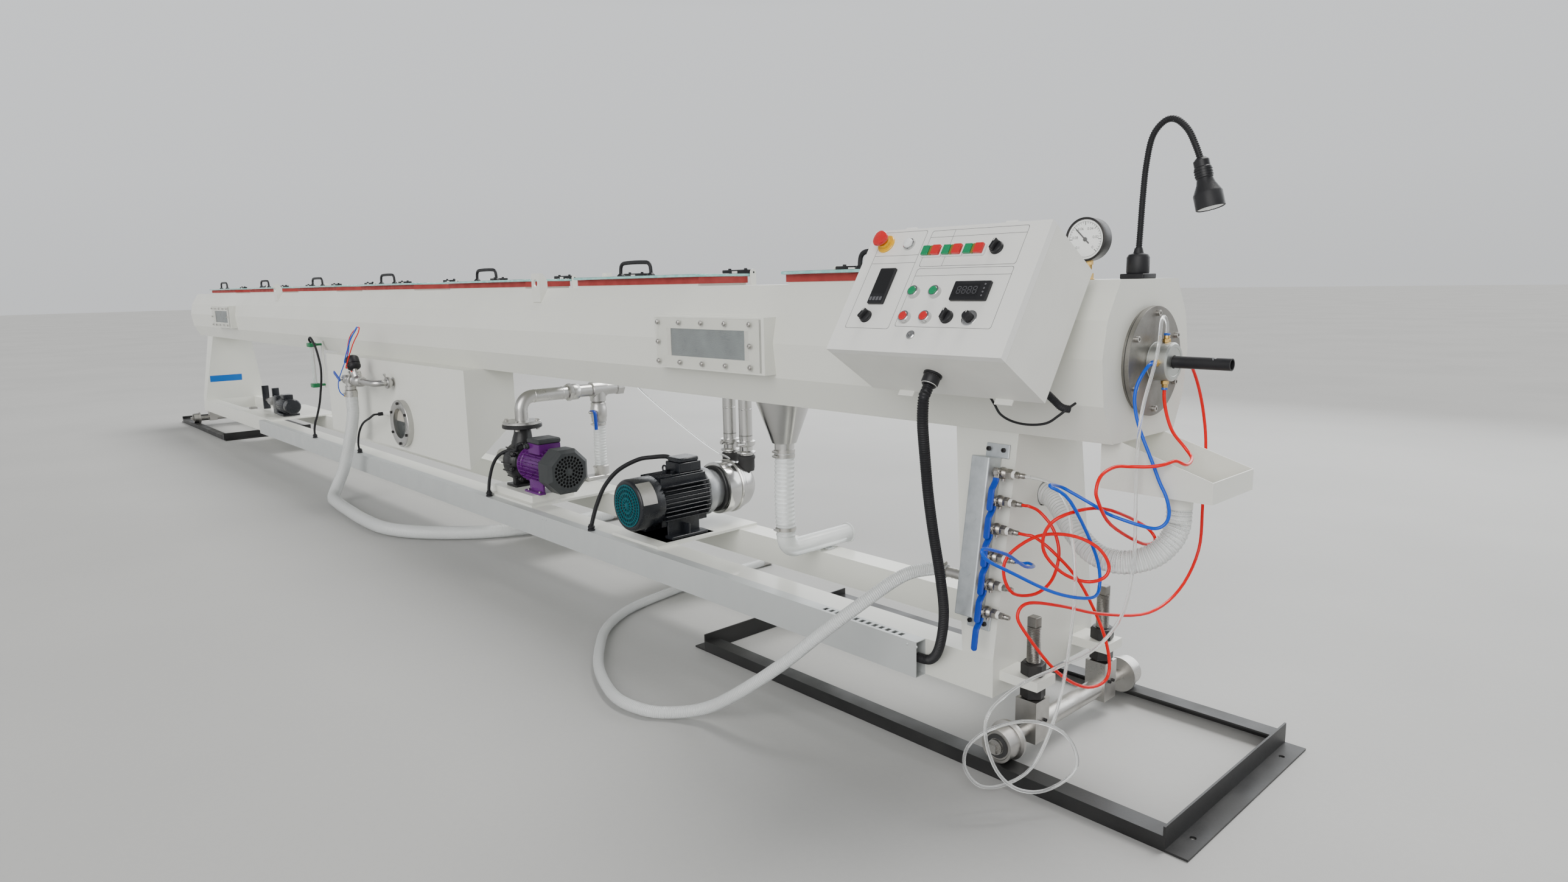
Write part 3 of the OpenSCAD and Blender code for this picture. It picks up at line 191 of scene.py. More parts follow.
screed = finish("screed", (0.42, 0.42, 0.41), (0.36, 0.36, 0.355), 0.45, 0.60, 0.1, patch=0.7, grain=60)
ground = bpy.data.objects.new("ground", bpy.data.meshes.new("ground"))
reach, below = 80, -0.001
corners = [(x * reach, y * reach, below) for x, y in ((-1, -1), (1, -1), (1, 1), (-1, 1))]
ground.data.from_pydata(corners, [], [(0, 1, 2, 3)])
ground.data.materials.append(screed)
bpy.context.scene.collection.objects.link(ground)


# Air and water tubing from the calibrator to the six valves, the tray's drain hose, the supply hose
# and the hose under the fill valve. All are soft plastic, pushed into or clamped on their fittings.
def smooth_route(points, steps):
    """Catmull-Rom curve through the points, evaluated as whole arrays."""
    p = np.asarray(points, float)
    ends = np.vstack([p[:1], p, p[-1:]])
    a, b, c, d = (ends[k:k + len(p) - 1, None] for k in range(4))
    t = (np.arange(steps) / steps)[None, :, None]
    curve = 0.5 * (2 * b + (c - a) * t + (2 * a - 5 * b + 4 * c - d) * t ** 2
                   + (3 * b - a - 3 * c + d) * t ** 3)
    return np.vstack([curve.reshape(-1, 3), p[-1:]])


def frames_along(path):
    """Heading and two sides at each point of a path, each side carried on from the one before."""
    heading = np.gradient(path, axis=0)
    heading /= np.linalg.norm(heading, axis=1, keepdims=True)
    side = np.empty_like(path)
    start = np.array([1.0, 0, 0]) if abs(heading[0, 2]) > 0.9 else np.array([0, 0, 1.0])
    for i, h in enumerate(heading):
        start = start - h * (start @ h)
        start = start / np.linalg.norm(start)
        side[i] = start
    return heading, side, np.cross(heading, side)


def shell(grid, closed=False):
    """Rings of points, (rings, points, 3), joined by quads, with its two ends capped unless it closes."""
    rings, count = grid.shape[:2]
    i = np.arange(rings if closed else rings - 1)[:, None]
    j = np.arange(count)[None]
    k = (j + 1) % count
    after = (i + 1) % rings
    quads = np.stack([i * count + j, i * count + k, after * count + k, after * count + j],
                     axis=-1).reshape(-1, 4)
    faces = quads.tolist()
    if not closed:
        faces.append(list(range(count - 1, -1, -1)))
        faces.append(list(range((rings - 1) * count, rings * count)))
    return grid.reshape(-1, 3), faces


def carried(path, section):
    """A section of (side, up) offsets, one for all rings or one for each, carried along a path."""
    path = np.asarray(path, float)
    section = np.broadcast_to(section, (len(path), *np.shape(section)[-2:]))
    heading, side, up = frames_along(path)
    return shell(path[:, None] + section[..., :1] * side[:, None] + section[..., 1:] * up[:, None])


def circle(radius, count):
    """Points of a circle, or one circle for each radius of an array."""
    a = np.linspace(0, 2 * np.pi, count, endpoint=False)
    return np.multiply.outer(radius, np.column_stack([np.cos(a), np.sin(a)]))


def piece(name, shapes, material, body="machine", node=None, sharp=35, uv=None):
    """Shapes in millimetres from the inlet face, joined into one object that rides on a body.

    node names the solid whose place the object takes.
    """
    points, faces, count = [], [], 0
    for verts, polygons in shapes:
        points.append(verts)
        faces += [[v + count for v in polygon] for polygon in polygons]
        count += len(verts)
    mesh = bpy.data.meshes.new(name)
    mesh.from_pydata(row(np.vstack(points)).tolist(), [], faces)
    if uv is not None:
        layer = mesh.uv_layers.new(name="UVMap")
        layer.data.foreach_set("uv", uv.astype(np.float32).ravel())
    work = bmesh.new()
    work.from_mesh(mesh)
    bmesh.ops.recalc_face_normals(work, faces=work.faces)
    work.to_mesh(mesh)
    work.free()
    mesh.polygons.foreach_set("use_smooth", [True] * len(mesh.polygons))
    mesh.set_sharp_from_angle(angle=math.radians(sharp))
    mesh.materials.append(material)
    made = bpy.data.objects.new(name, mesh)
    bpy.context.scene.collection.objects.link(made)
    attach(made, body)
    if node:
        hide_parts(node)
    return made


def spiral_group():
    """A helix round a hose, from its UV map: U goes once round and V is the length in metres."""
    group, add, given, out = new_group("spiral", [("Pitch", "Float", 0.008)],
                                       [("Mask", "Float"), ("Height", "Float")])
    place = add("SeparateXYZ", {0: add("UVMap", uv_map="UVMap").outputs["UV"]}).outputs
    turns = add("Math", {0: place["Y"], 1: given["Pitch"]}, operation="DIVIDE")
    angle = add("Math", {0: turns.outputs[0], 1: place["X"]}, operation="ADD")
    round_once = add("Math", {0: angle.outputs[0], 1: 2 * math.pi}, operation="MULTIPLY")
    wave = add("Math", {0: round_once.outputs[0]}, operation="SINE")
    mask = add("Math", {0: wave.outputs[0], 1: 1.6, 2: -0.45}, operation="MULTIPLY_ADD", use_clamp=True)
    connect(group, out, {"Mask": mask.outputs[0], "Height": wave.outputs[0]})
    return group


spiral = spiral_group()


def hose_finish(name, colour, wire, pitch, relief, rough, transmission):
    """Soft clear plastic with a wire or rib wound through its wall."""
    material = finish(name, colour, wire, 0.15, rough, 0.05, transmission=transmission)
    tree = material.node_tree
    add = adder(tree)
    wound = add("Group", {"Pitch": pitch}, node_tree=spiral).outputs
    mixed = add("Mix", {"Factor": wound["Mask"], 6: tree.nodes["Group"].outputs["Color"], 7: (*wire, 1)},
                data_type="RGBA")
    connect(tree, tree.nodes["Principled BSDF"], {"Base Color": mixed.outputs[2]})
    connect(tree, tree.nodes["Bump"], {"Distance": relief, "Height": wound["Height"]})
    return material


def length_along(path):
    """The length from the start of a path to each of its points."""
    return np.concatenate([[0], np.cumsum(np.linalg.norm(np.diff(path, axis=0), axis=1))])


def spaced(path, gap):
    """Points at even gaps along a path, and the length from its start to each."""
    path = np.asarray(path, float)
    run = length_along(path)
    even = np.arange(0, run[-1], gap)
    return np.column_stack([np.interp(even, run, path[:, k]) for k in range(3)]), even


def tubing(name, node, points, diameter, material, sides=14, steps=5, ribs=0.0, pitch=9.0):
    """A tube along a smoothed route. ribs is the height of the rings that stand out of its wall."""
    path = smooth_route(points, steps)
    run = length_along(path)
    if ribs:
        path, run = spaced(path, pitch / 4)
    radius = diameter / 2 - ribs * (0.5 - 0.5 * np.cos(2 * np.pi * run / pitch))
    verts, faces = carried(path, circle(radius, sides))
    rings = len(path)
    i, j = np.meshgrid(np.arange(rings - 1), np.arange(sides), indexing="ij")
    u = np.stack([j, j + 1, j + 1, j], axis=-1) / sides
    v = np.stack([run[i], run[i], run[i + 1], run[i + 1]], axis=-1) / 1000
    uv = np.concatenate([np.stack([u, v], axis=-1).reshape(-1, 2), np.zeros((2 * sides, 2))])
    made = piece(name, [(verts, faces)], material, node=node, sharp=60, uv=uv)
    return made, row(path), float(run[-1]) / 1000


# Push-in tubing, 8 mm. Each route starts in one of the calibrator's fittings, and three points added
# at its end lead it straight into the mouth of its valve on the leaning column.
lean = math.atan((240 - 148) / (818 - 250))
valve_depth = 27
valve_heights = [124 + 70 * (5 - i) for i in range(6)]


def column_point(x, v, out):
    """A point on the near column's leaning front face: v up the face, out towards the operator."""
    return np.array([x, -240 + v * math.sin(lean) - out * math.cos(lean),
                     250 + v * math.cos(lean) + out * math.sin(lean)])


clear_route = [[45, 0, 1066.5], [45, -2, 1088], [45, -20, 1105], [50, -42, 1092], [58, -64, 1050],
               [60, -88, 995], [56, -128, 895], [56, -142, 770], [60, -142, 615], [58, -144, 525],
               [40, -150, 420], [0, -190, 340], [-40, -285, 310], [-60, -405, 300], [-80, -495, 260],
               [-80, -510, 200], [-60, -495, 125], [-30, -460, 80], [0, -395, 62], [40, -345, 100],
               [40, -335, 145], [20, -365, 200], [-30, -415, 225], [-80, -485, 215], [-120, -520, 170],
               [-130, -515, 110], [-110, -485, 65], [-80, -435, 60], [-40, -385, 100], [-30, -320, 185],
               [-30, -275, 285], [-30, -250, 395], [-30, -240, 505], [-50, -225, 600], [-80, -200, 670],
               [-130, -185, 712]]
red_low_route = [[45, 0, 933.5], [46, 0, 910], [52, 5, 872], [66, 10, 834], [86, 28, 800], [107, 20, 780],
                 [124, -20, 775], [134, -68, 777], [128, -104, 790], [114, -134, 784], [90, -152, 779],
                 [58, -172, 778], [36, -202, 779], [28, -245, 766], [28, -266, 740], [30, -262, 712],
                 [30, -200, 645], [40, -65, 575], [45, -10, 575], [20, -30, 612], [0, -185, 675],
                 [-40, -280, 670], [-70, -305, 635], [-80, -295, 580], [-60, -250, 525], [-25, -205, 500],
                 [13, -191, 514], [18, -178, 542], [0, -200, 586], [-48, -234, 612], [-100, -290, 612],
                 [-135, -350, 575], [-140, -365, 530], [-130, -340, 480], [-115, -270, 465],
                 [-105, -215, 490], [-110, -180, 545], [-130, -175, 600], [-165, -180, 638]]
red_side_route = [[45, 66.5, 1000], [45, 90, 1000], [40, 140, 985], [35, 200, 930], [32, 250, 850],
                  [30, 280, 755], [30, 280, 605], [30, 270, 485], [20, 190, 395], [0, 65, 360],
                  [-30, -110, 395], [-65, -240, 440], [-90, -335, 465], [-100, -365, 445], [-90, -355, 405],
                  [-60, -265, 290], [-40, -170, 225], [-30, -90, 215], [-30, -65, 255], [-40, -90, 350],
                  [-70, -150, 475], [-110, -200, 550], [-160, -205, 580]]
blue_route = [[45, -66.5, 1000], [44, -82, 996], [38, -100, 975], [33, -112, 950], [32, -117, 920],
              [40, -119, 880], [54, -119, 842], [80, -120, 787], [101, -121, 741], [118, -121, 709],
              [127, -122, 675], [122, -127, 650], [105, -140, 638], [76, -163, 646], [39, -176, 656],
              [16, -189, 666], [6, -226, 688], [-39, -241, 712], [-64, -263, 730], [-45, -335, 745],
              [-20, -290, 706], [-18, -174, 560], [-12, -162, 480], [-10, -210, 465], [-40, -310, 495],
              [-80, -425, 560], [-100, -490, 600], [-108, -490, 622], [-110, -400, 590], [-120, -310, 540],
              [-140, -240, 520], [-170, -215, 516]]
tube_clear = finish("clear_tube_plastic", (0.96, 0.97, 0.97), (0.88, 0.90, 0.90), 0.2, 0.08, 0.04,
                    transmission=0.85)
tube_red = finish("red_tube_plastic", (0.80, 0.0, 0.002), (0.55, 0.0, 0.001), 0.3, 0.13, 0.06, mirror=0.3)
tube_blue = finish("blue_tube_plastic", (0.0, 0.085, 0.62), (0.0, 0.045, 0.40), 0.3, 0.13, 0.06, mirror=0.3)
tubes = (("clear_tube", clear_route, tube_clear, "clear_tubing"),
         ("red_tube_low", red_low_route, tube_red, "red_tubing"),
         ("red_tube_side", red_side_route, tube_red, "red_tubing"),
         ("blue_tube", blue_route, tube_blue, "blue_tubing"))
for number, (name, route, material, slot) in enumerate(tubes):
    ends = [column_point(-200 + out, valve_heights[number], valve_depth) for out in (20, 10, 0.1)]
    made, path, length = tubing(name + "_skin", name, route + ends, 8, material, sides=12, steps=5)

tray_route = [[115, -45, 669.5], [115, -45, 650], [114, -46, 628], [105, -62, 592], [75, -88, 555],
              [15, -115, 535], [-50, -122, 545], [-110, -105, 580], [-170, -66, 618], [-212, -36, 638],
              [-240, -27, 645], [-262, -26, 645]]
ribbed = hose_finish("ribbed_hose", (0.80, 0.82, 0.80), (0.92, 0.93, 0.92), 0.010, 0.0012, 0.25, 0.35)
made, path, length = tubing("tray_hose_skin", "tray_hose", tray_route, 58, ribbed, 24, 6,
                            2.2, 10)

supply_route = [[-400.5, -235, 449.8], [-422, -235, 449.8], [-444, -243, 449], [-478, -320, 440],
                [-530, -430, 375], [-595, -510, 300], [-680, -570, 210], [-800, -620, 110],
                [-900, -650, 45], [-985, -700, 19], [-1060, -750, 18], [-1193, -760, 18], [-1391, -690, 18],
                [-1560, -583, 18], [-1699, -465, 18], [-1800, -301, 18], [-1850, -80, 18], [-1875, 120, 18],
                [-1880, 280, 18], [-1880, 400, 18], [-1880, 419.5, 18]]
tank_route = [[-4475, -350, 611.5], [-4475, -350, 560], [-4477, -351, 510], [-4500, -370, 380],
              [-4560, -400, 200], [-4590, -440, 90], [-4540, -480, 40], [-4400, -500, 34],
              [-4161, -520, 34], [-3900, -535, 34], [-3650, -525, 34], [-3448, -447, 34], [-3260, -290, 34],
              [-3142, -112, 34], [-3070, 120, 34], [-3060, 280, 34], [-3060, 400, 34], [-3060, 419.5, 34]]
wired = hose_finish("wire_hose", (0.74, 0.76, 0.76), (0.93, 0.94, 0.93), 0.0055, 0.0004, 0.18, 0.4)
made, path, length = tubing("supply_hose_skin", "supply_hose", supply_route, 34, wired, 20, 8)
made, path, length = tubing("tank_hose_skin", "tank_hose", tank_route, 64, wired, 24, 8)

# Sheet steel work of the tank, base and box: welded, ground and sprayed a warm light grey, with the
# faint orange peel of a sprayed coat and faint darker patches all over.
white = finish("white_paint", (0.725, 0.73, 0.675), (0.62, 0.62, 0.565), 0.22, 0.30, 0.10, 2.5, 420,
               relief=0.00012, coat=0.15)


def dress(material, *names):
    """Give solids that show as they are this material."""
    for name in names:
        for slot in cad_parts[name].material_slots:
            slot.material = material


dress(white, "tank_trough", "tank_deck", "end_plates", "base_frame", "near_pedestal", "far_pedestal",
      "water_box", "catch_tray")
black_gloss = finish("black_track_paint", (0.006, 0.006, 0.0065), (0.035, 0.035, 0.034), 0.35, 0.30, 0.22,
                     6, 300, relief=0.00015)
dress(black_gloss, "near_track", "far_track")


# Seven toughened glass lids on the deck, each with a black bow handle in front and two black clamp
# bars at its rear edge, which turn on pins between the brackets. Red silicone foam seals them.
def pad(lo, hi, corner=4.0, edge=0.8, arc=4):
    """A plate or block: a rounded rectangle in X and Y carried up Z, with both rims chamfered."""
    lo, hi = np.asarray(lo, float), np.asarray(hi, float)
    centre, half = (lo + hi) / 2, (hi - lo) / 2
    edge = min(edge, half[2] * 0.45)
    corner = float(np.clip(corner, edge, min(half[0], half[1]) * 0.98))
    a = (np.arange(4)[:, None] + np.linspace(0, 1, arc)[None]) * np.pi / 2
    quarter = np.array([[1, 1], [-1, 1], [-1, -1], [1, -1]])[:, None] * (half[:2] - corner)
    rings = []
    for inset, z in ((edge, lo[2]), (0, lo[2] + edge), (0, hi[2] - edge), (edge, hi[2])):
        flat = centre[:2] + quarter + (corner - inset) * np.stack([np.cos(a), np.sin(a)], axis=-1)
        rings.append(np.column_stack([flat.reshape(-1, 2), np.full(4 * arc, z)]))
    return shell(np.array(rings))


def turned(profile, centre, axis=(0, 0, 1), count=24, start=0.0, closed=False):
    """A profile of (radius, height) turned about an axis through a centre; closed makes a ring of it."""
    profile, axis = np.asarray(profile, float), np.asarray(axis, float)
    axis = axis / np.linalg.norm(axis)
    u = np.cross(axis, (0, 0, 1) if abs(axis[2]) < 0.9 else (1, 0, 0))
    u = u / np.linalg.norm(u)
    a = start + np.linspace(0, 2 * np.pi, count, endpoint=False)
    around = np.outer(np.cos(a), u) + np.outer(np.sin(a), np.cross(axis, u))
    return shell(np.asarray(centre, float) + profile[:, 1, None, None] * axis
                 + profile[:, :1, None] * around, closed)


def lathe(centre, axis, *profiles):
    """Several profiles turned about one axis, each given with the count of its sides."""
    return [turned(profile, centre, axis, count) for profile, count in profiles]


along, back, up, front = (1, 0, 0), (0, 1, 0), (0, 0, 1), (0, -1, 0)


def ends_of(node):
    """A node's box in millimetres from the inlet face."""
    lo, hi = (np.array(corner) - [inlet_x, 0, 0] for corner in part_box(node))
    return lo * 1000, hi * 1000


glass = finish("lid_glass", (0.80, 0.93, 0.90), (0.76, 0.90, 0.87), 0.1, 0.02, 0.0, relief=0.0,
               transmission=0.92, ior=1.45)
glass_edge = finish("lid_glass_edge", (0.16, 0.48, 0.44), (0.45, 0.75, 0.72), 0.6, 0.10, 0.1, 30, 200,
                    relief=0.0, coat=0.5)
foam = finish("silicone_foam", (0.36, 0.035, 0.03), (0.20, 0.015, 0.015), 0.5, 0.62, 0.15, 20, 900,
              relief=0.0006)
moulded = finish("black_moulding", (0.010, 0.010, 0.012), (0.03, 0.03, 0.032), 0.3, 0.34, 0.18, 14, 700,
                 relief=0.00012, mirror=0.32)
white_nylon = finish("white_nylon", (0.80, 0.80, 0.77), (0.62, 0.62, 0.58), 0.25, 0.45, 0.1, 12, 300)
dress(foam, "lid_gaskets")
half, lid_y, lid_z, handle_y, skin = 405, 129, 1222.3, -99, 0.2
top = lid_z + 10
bow = smooth_route([[-100, 0, 0], [-100, 0, 18], [-96, 0, 36], [-84, 0, 46], [-60, 0, 49], [0, 0, 50],
                    [60, 0, 49], [84, 0, 46], [96, 0, 36], [100, 0, 18], [100, 0, 0]], 5)
edges = ((-half - skin, half + skin, -lid_y - skin, -lid_y + 0.5),
         (-half - skin, -half + 0.5, -lid_y, lid_y), (half - 0.5, half + skin, -lid_y, lid_y),
         (-half - skin, half + skin, lid_y - 0.5, lid_y + skin))
for number in range(1, 8):
    body = f"lid_{number}"
    lo, hi = ends_of(body)
    middle = (lo[0] + hi[0]) / 2
    pane = pad([middle - half, -lid_y, lid_z], [middle + half, lid_y, top], 8, 1.2)
    piece(f"glass_{number}", [pane], glass, body, node=body)
    rim = [pad([middle + x0, y0, lid_z + 1], [middle + x1, y1, top - 1], 0.3, 0.1)
           for x0, x1, y0, y1 in edges]
    piece(f"glass_edge_{number}", rim, glass_edge, body)
    fittings = [carried(bow + [middle, handle_y, top], circle(1, 14) * [7.5, 6.5])]
    for s in (-1, 1):
        end = middle + s * half
        fittings.append(turned([(15, 0), (15, 3), (12, 6), (8.5, 10)], [middle + s * 100, handle_y, top]))
        x0, x1 = sorted((end, middle + s * (half - 150)))
        fittings.append(pad([x0, 112, lid_z - 0.1], [x1, 138, top + 14], 3, 1.5))
        fittings.append(turned([(4, 0), (4, 11)], [end, 128, 1236], (s, 0, 0)))
        fittings += [turned([(6.5, 0), (6.5, 5), (5, 6)], [middle + s * (half - d), 125, top + 13.5],
                            count=6) for d in (30, 120)]
    piece(f"lid_handle_{number}", fittings, moulded, body)
    tabs = [pad([middle + x - 14, 108, top], [middle + x + 14, 113, top + 9], 2, 0.5)
            for x in (75 - half, half - 75)]
    piece(f"lid_tab_{number}", tabs, white_nylon, body)

# Two side windows: a thick clear acrylic sheet on the welded frame, held by twelve screws on washers.
# Its edges look milky over the pale seal. A dark grey sheet in the middle stands for the wet inside of
# the tank, and its dark grey is painted shade of the closed tank.
acrylic = finish("acrylic", (0.74, 0.74, 0.69), (0.66, 0.66, 0.61), 0.4, 0.08, 0.06, 9, 200, relief=0.0,
                 alpha=0.10)
seal_white = finish("pale_seal", (0.66, 0.655, 0.61), (0.56, 0.55, 0.50), 0.6, 0.35, 0.1, 30, 300, coat=0.2)
bright = finish("bright_steel", (0.58, 0.57, 0.55), (0.38, 0.36, 0.33), 0.4, 0.22, 0.2, 18, 260, (1, 1, 6),
                0.00008, 1.0)
# The sheet behind each pane is the wet inside of the tank, with the dark grey of its shade painted in.
wet_and_shade = finish("wet_interior", (0.075, 0.098, 0.112), (0.14, 0.17, 0.185), 0.7, 0.25, 0.1, 16, 90, (1, 1, 4),
             0.0008, mirror=0.25)
tank_end, window_z, pane_y = -9030, 1007, -253
washer_screw = [(9, 0), (9, 1.2), (6.5, 1.4), (6.5, 5), (5.5, 6), (2.8, 6), (2.8, 3)]
panes, bands, screws, painted_shade_sheets = [], [], [], []
for x in (-1370, tank_end + 1280):
    panes.append(pad([x - 275, pane_y, window_z - 82.5], [x + 275, pane_y + 8, window_z + 82.5], 4, 1))
    for x0, x1, z0, z1 in ((-274, 274, -82, -50), (-274, 274, 50, 82), (-274, -192, -50, 50),
                           (192, 274, -50, 50)):
        bands.append(pad([x + x0, pane_y + 8.2, window_z + z0],
                         [x + x1, pane_y + 11, window_z + z1], 0.5, 0.3))
    for dx, dz in [*((k, v) for k in np.linspace(-255, 225, 5) for v in (-66, 66)), (-255, 0), (225, 0)]:
        screws.append(turned(washer_screw, [x + dx, pane_y, window_z + dz], front, 20))
    painted_shade_sheets.append(pad([x - 196, pane_y + 11.5, window_z - 54], [x + 196, pane_y + 14, window_z + 54],
                     2, 0.5))
piece("window_sheets", panes, acrylic, node="window_panes")
piece("window_seals", bands, seal_white)
piece("window_screws", screws, bright)
piece("window_inside", painted_shade_sheets, wet_and_shade)

# Inlet: a ground steel flange on a black rubber joint, six socket screws, and the calibrator sleeve
# that gives the pipe its size, with four brass push-in fittings and the black tube in its bore.
ground_steel = finish("ground_steel", (0.30, 0.29, 0.27), (0.16, 0.15, 0.135), 0.55, 0.26, 0.25, 14, 220,
                      (1, 4, 1), 0.0001, 1.0)
rubber = finish("black_rubber", (0.02, 0.02, 0.02), (0.05, 0.05, 0.05), 0.3, 0.65, 0.1, 12, 500)
zinc = finish("zinc", (0.56, 0.58, 0.56), (0.40, 0.41, 0.38), 0.5, 0.28, 0.2, 25, 400, relief=0.00008,
              metallic=1.0)
brass = finish("brass", (0.72, 0.48, 0.16), (0.42, 0.26, 0.08), 0.4, 0.22, 0.15, 30, 400, relief=0.00005,
               metallic=1.0)
blue_collet = finish("blue_collet", (0.01, 0.10, 0.50), (0.01, 0.05, 0.3), 0.3, 0.3, 0.1, coat=0.2)
black_steel = finish("blackened_steel", (0.022, 0.022, 0.024), (0.07, 0.065, 0.06), 0.4, 0.34, 0.2, 20, 400,
                     relief=0.00008, metallic=0.6)
axis = [0, 0, 1000]
plate = [turned([(45.2, 10), (45.2, 19), (46.2, 20), (128, 20), (129, 19), (129, 10)], axis, along, 96,
                closed=True),
         turned([(45.3, 0), (45.3, 7), (124, 7), (124, 0)], axis, along, 96, closed=True)]
piece("flange_plate", plate, ground_steel, node="inlet_flange")
piece("flange_joint", [turned([(46, 7), (46, 10), (127, 10), (127, 7)], axis, along, 96, closed=True)],
      rubber)
socket_screw = [(7, 0), (7, 7.2), (6.2, 8), (3.6, 8), (3.6, 4)]
around = np.radians(np.arange(30, 360, 60))
screws = [turned(socket_screw, [20, 112 * np.cos(a), 1000 + 112 * np.sin(a)], along, 20) for a in around]
piece("flange_screws", screws, bright)
sleeve = [(14.3, -60), (14.3, 63), (15.5, 65), (33, 65), (34, 66), (41, 66), (45, 62), (45, 24), (44, 23),
          (44, 21.5), (45, 20.5), (45, -60)]
piece("calibrator_sleeve", [turned(sleeve, axis, along, 64, closed=True)], zinc,
      node="calibrator")
bodies, collets = [], []
collet = [(4.2, 60), (6.4, 60.5), (6.6, 62), (7.2, 63.5), (7.2, 65.2), (6.4, 66), (4.2, 66)]
for out in (up, back, (0, 0, -1), front):
    bodies += lathe([45, 0, 1000], out, ([(6, 43.5), (9, 45), (9, 52), (8, 53)], 6),
                    ([(6.8, 52.5), (6.8, 60), (6.2, 61)], 20))
    collets.append(turned(collet, [45, 0, 1000], out, 20, closed=True))
piece("fitting_bodies", bodies, brass)
piece("fitting_collets", collets, blue_collet)
dress(moulded, "inlet_tube")

# Six ball valves on a galvanised box manifold, which two tabs hold on the column with socket screws.
# Each has a plated body with white tape on its threads and a lever dipped in blue vinyl.
def set_in(shape, origin, axes):
    """A shape moved from its own axes into the three given ones."""
    return shape[0] @ np.asarray(axes, float) + np.asarray(origin, float), shape[1]


def about_x(angle):
    """Axes turned about the first of them."""
    c, s = math.cos(angle), math.sin(angle)
    return np.array([[1, 0, 0], [0, c, s], [0, -s, c]])


def about_z(angle):
    """Axes turned about the third of them."""
    c, s = math.cos(angle), math.sin(angle)
    return np.array([[c, s, 0], [-s, c, 0], [0, 0, 1]])


facing = np.array([along, up, front])
column_axes = [[1, 0, 0], [0, -math.cos(lean), math.sin(lean)], [0, math.sin(lean), math.cos(lean)]]


def on_column(shapes):
    """Shapes placed on the near column: x, out of its face, and up the face."""
    return [set_in(s, [0, -240, 250], column_axes) for s in shapes]


galvanised = finish("galvanised", (0.58, 0.61, 0.63), (0.42, 0.45, 0.47), 0.6, 0.34, 0.2, 30, 700,
                    relief=0.00008, metallic=0.85)
nickel = finish("nickel_plate", (0.50, 0.48, 0.45), (0.22, 0.20, 0.18), 0.55, 0.16, 0.2, 50, 500,
                relief=0.0001, metallic=1.0)
thread_tape = finish("thread_tape", (0.84, 0.84, 0.82), (0.70, 0.70, 0.68), 0.4, 0.55, 0.1, 80, 900,
                     relief=0.0004)
vinyl = finish("blue_vinyl", (0.002, 0.035, 0.33), (0.004, 0.06, 0.45), 0.4, 0.28, 0.12, 20, 500,
               relief=0.0001, mirror=0.35)
box = [pad([-345, 0, 105], [-290, 55, 510], 5, 1.5), pad([-337, 0, 71], [-268, 5, 106], 5, 0.8),
       pad([-337, 0, 509], [-268, 5, 544], 5, 0.8)]
box += [turned([(9, 0), (9, 0.8), (6, 0.9)], [-318, 55, v], back, 20) for v in (215, 355)]
piece("manifold_box", on_column(box), galvanised, node="valve_manifold")
tab_screws = [turned([(6, 5), (6, 10), (5.4, 10.6), (3, 10.6), (3, 7.5)], [x, 0, v], back, 18)
              for x in (-328, -284) for v in (86, 529)]
piece("manifold_screws", on_column(tab_screws), black_steel)
plated, tape = [], []
for v in valve_heights:
    spot = [0, valve_depth, v]
    plated += lathe(spot, along, ([(10, -291), (13.6, -288), (13.6, -277), (12, -275)], 6),
                    ([(10, -277), (13, -273), (15.5, -267), (15.5, -261), (13, -255), (10.5, -251)], 24))
    plated += [turned([(11, -252), (13.4, -250), (13.4, -237), (12, -235)], spot, along, 6, 0.3),
               turned([(7, -229), (9.4, -228), (9.4, -219), (8, -217)], spot, along, 6, 0.2),
               turned([(6.2, -218), (6.2, -212), (7.2, -211), (5.8, -207), (7.0, -206), (5.6, -200.3)],
                      spot, along, 18),
               turned([(8.5, 12), (8.5, 33), (6.5, 35), (6.5, 38), (5, 40), (5, 47)], [-268, 0, v],
                      back, 20),
               turned([(5.2, -7), (5.2, 6)], [-262, valve_depth, v - 13], up, 12)]
    wound = [(9.6 + 0.5 * (k % 2), -236 + k) for k in range(9)]
    tape += [turned([(9, -236.5)] + wound + [(9, -227)], spot, along, 20)]
piece("valve_bodies", on_column(plated), nickel)
piece("valve_tape", on_column(tape), thread_tape)
lever_line = ((49.6, 12), (50, 20), (57, 32), (63, 43), (63.3, 60), (63.3, 80), (63.3, 95.5))
for number, v in enumerate(valve_heights, 1):
    body = f"lever_{number}"
    line = smooth_route([[-268, out, v - drop] for out, drop in lever_line], 6)
    run = np.linspace(0, 1, len(line))
    tip = np.sqrt(np.clip(1 - np.clip((run - 0.9) / 0.102, 0, 1) ** 2, 0.02, 1))
    width = 9.0 * tip * np.clip(run * 30 + 0.75, 0, 1)
    section = circle(1, 16)
    section = np.sign(section) * np.abs(section) ** 0.7
    grip = carried(line,
                   np.stack([np.multiply.outer(width, section[:, 0]),
                             np.multiply.outer(np.ones(len(line)) * 2.6, section[:, 1])], axis=-1))
    piece(f"lever_grip_{number}", on_column([grip]), vinyl, body, node=body)
    hub = [pad([-275, 47.4, v - 15], [-261, 50.2, v + 9], 6, 0.5),
           turned([(7.2, 0), (7.2, 5), (6, 6)], [-268, 50, v], back, 6)]
    piece(f"lever_hub_{number}", on_column(hub), nickel, body)
barb = [(11, -401), *((13 + 1.2 * (k % 2), -398 + 6 * k) for k in range(8)), (13, -352), (19, -351),
        (19, -346), (17, -344.5)]
piece("supply_barb", on_column([turned(barb, [0, valve_depth, 198], along, 24)]),
      bright)
clamp = [turned([(17.1, 0), (17.1, 11), (18.2, 11), (18.2, 0)], [-402, -236, 450],
                (-1, -0.2, 0), 32, closed=True),
         turned([(5, 0), (5, 14), (4, 15)], [-407, -243, 468], (0, 1, 0.2), 6)]
piece("supply_clamp", clamp, bright)

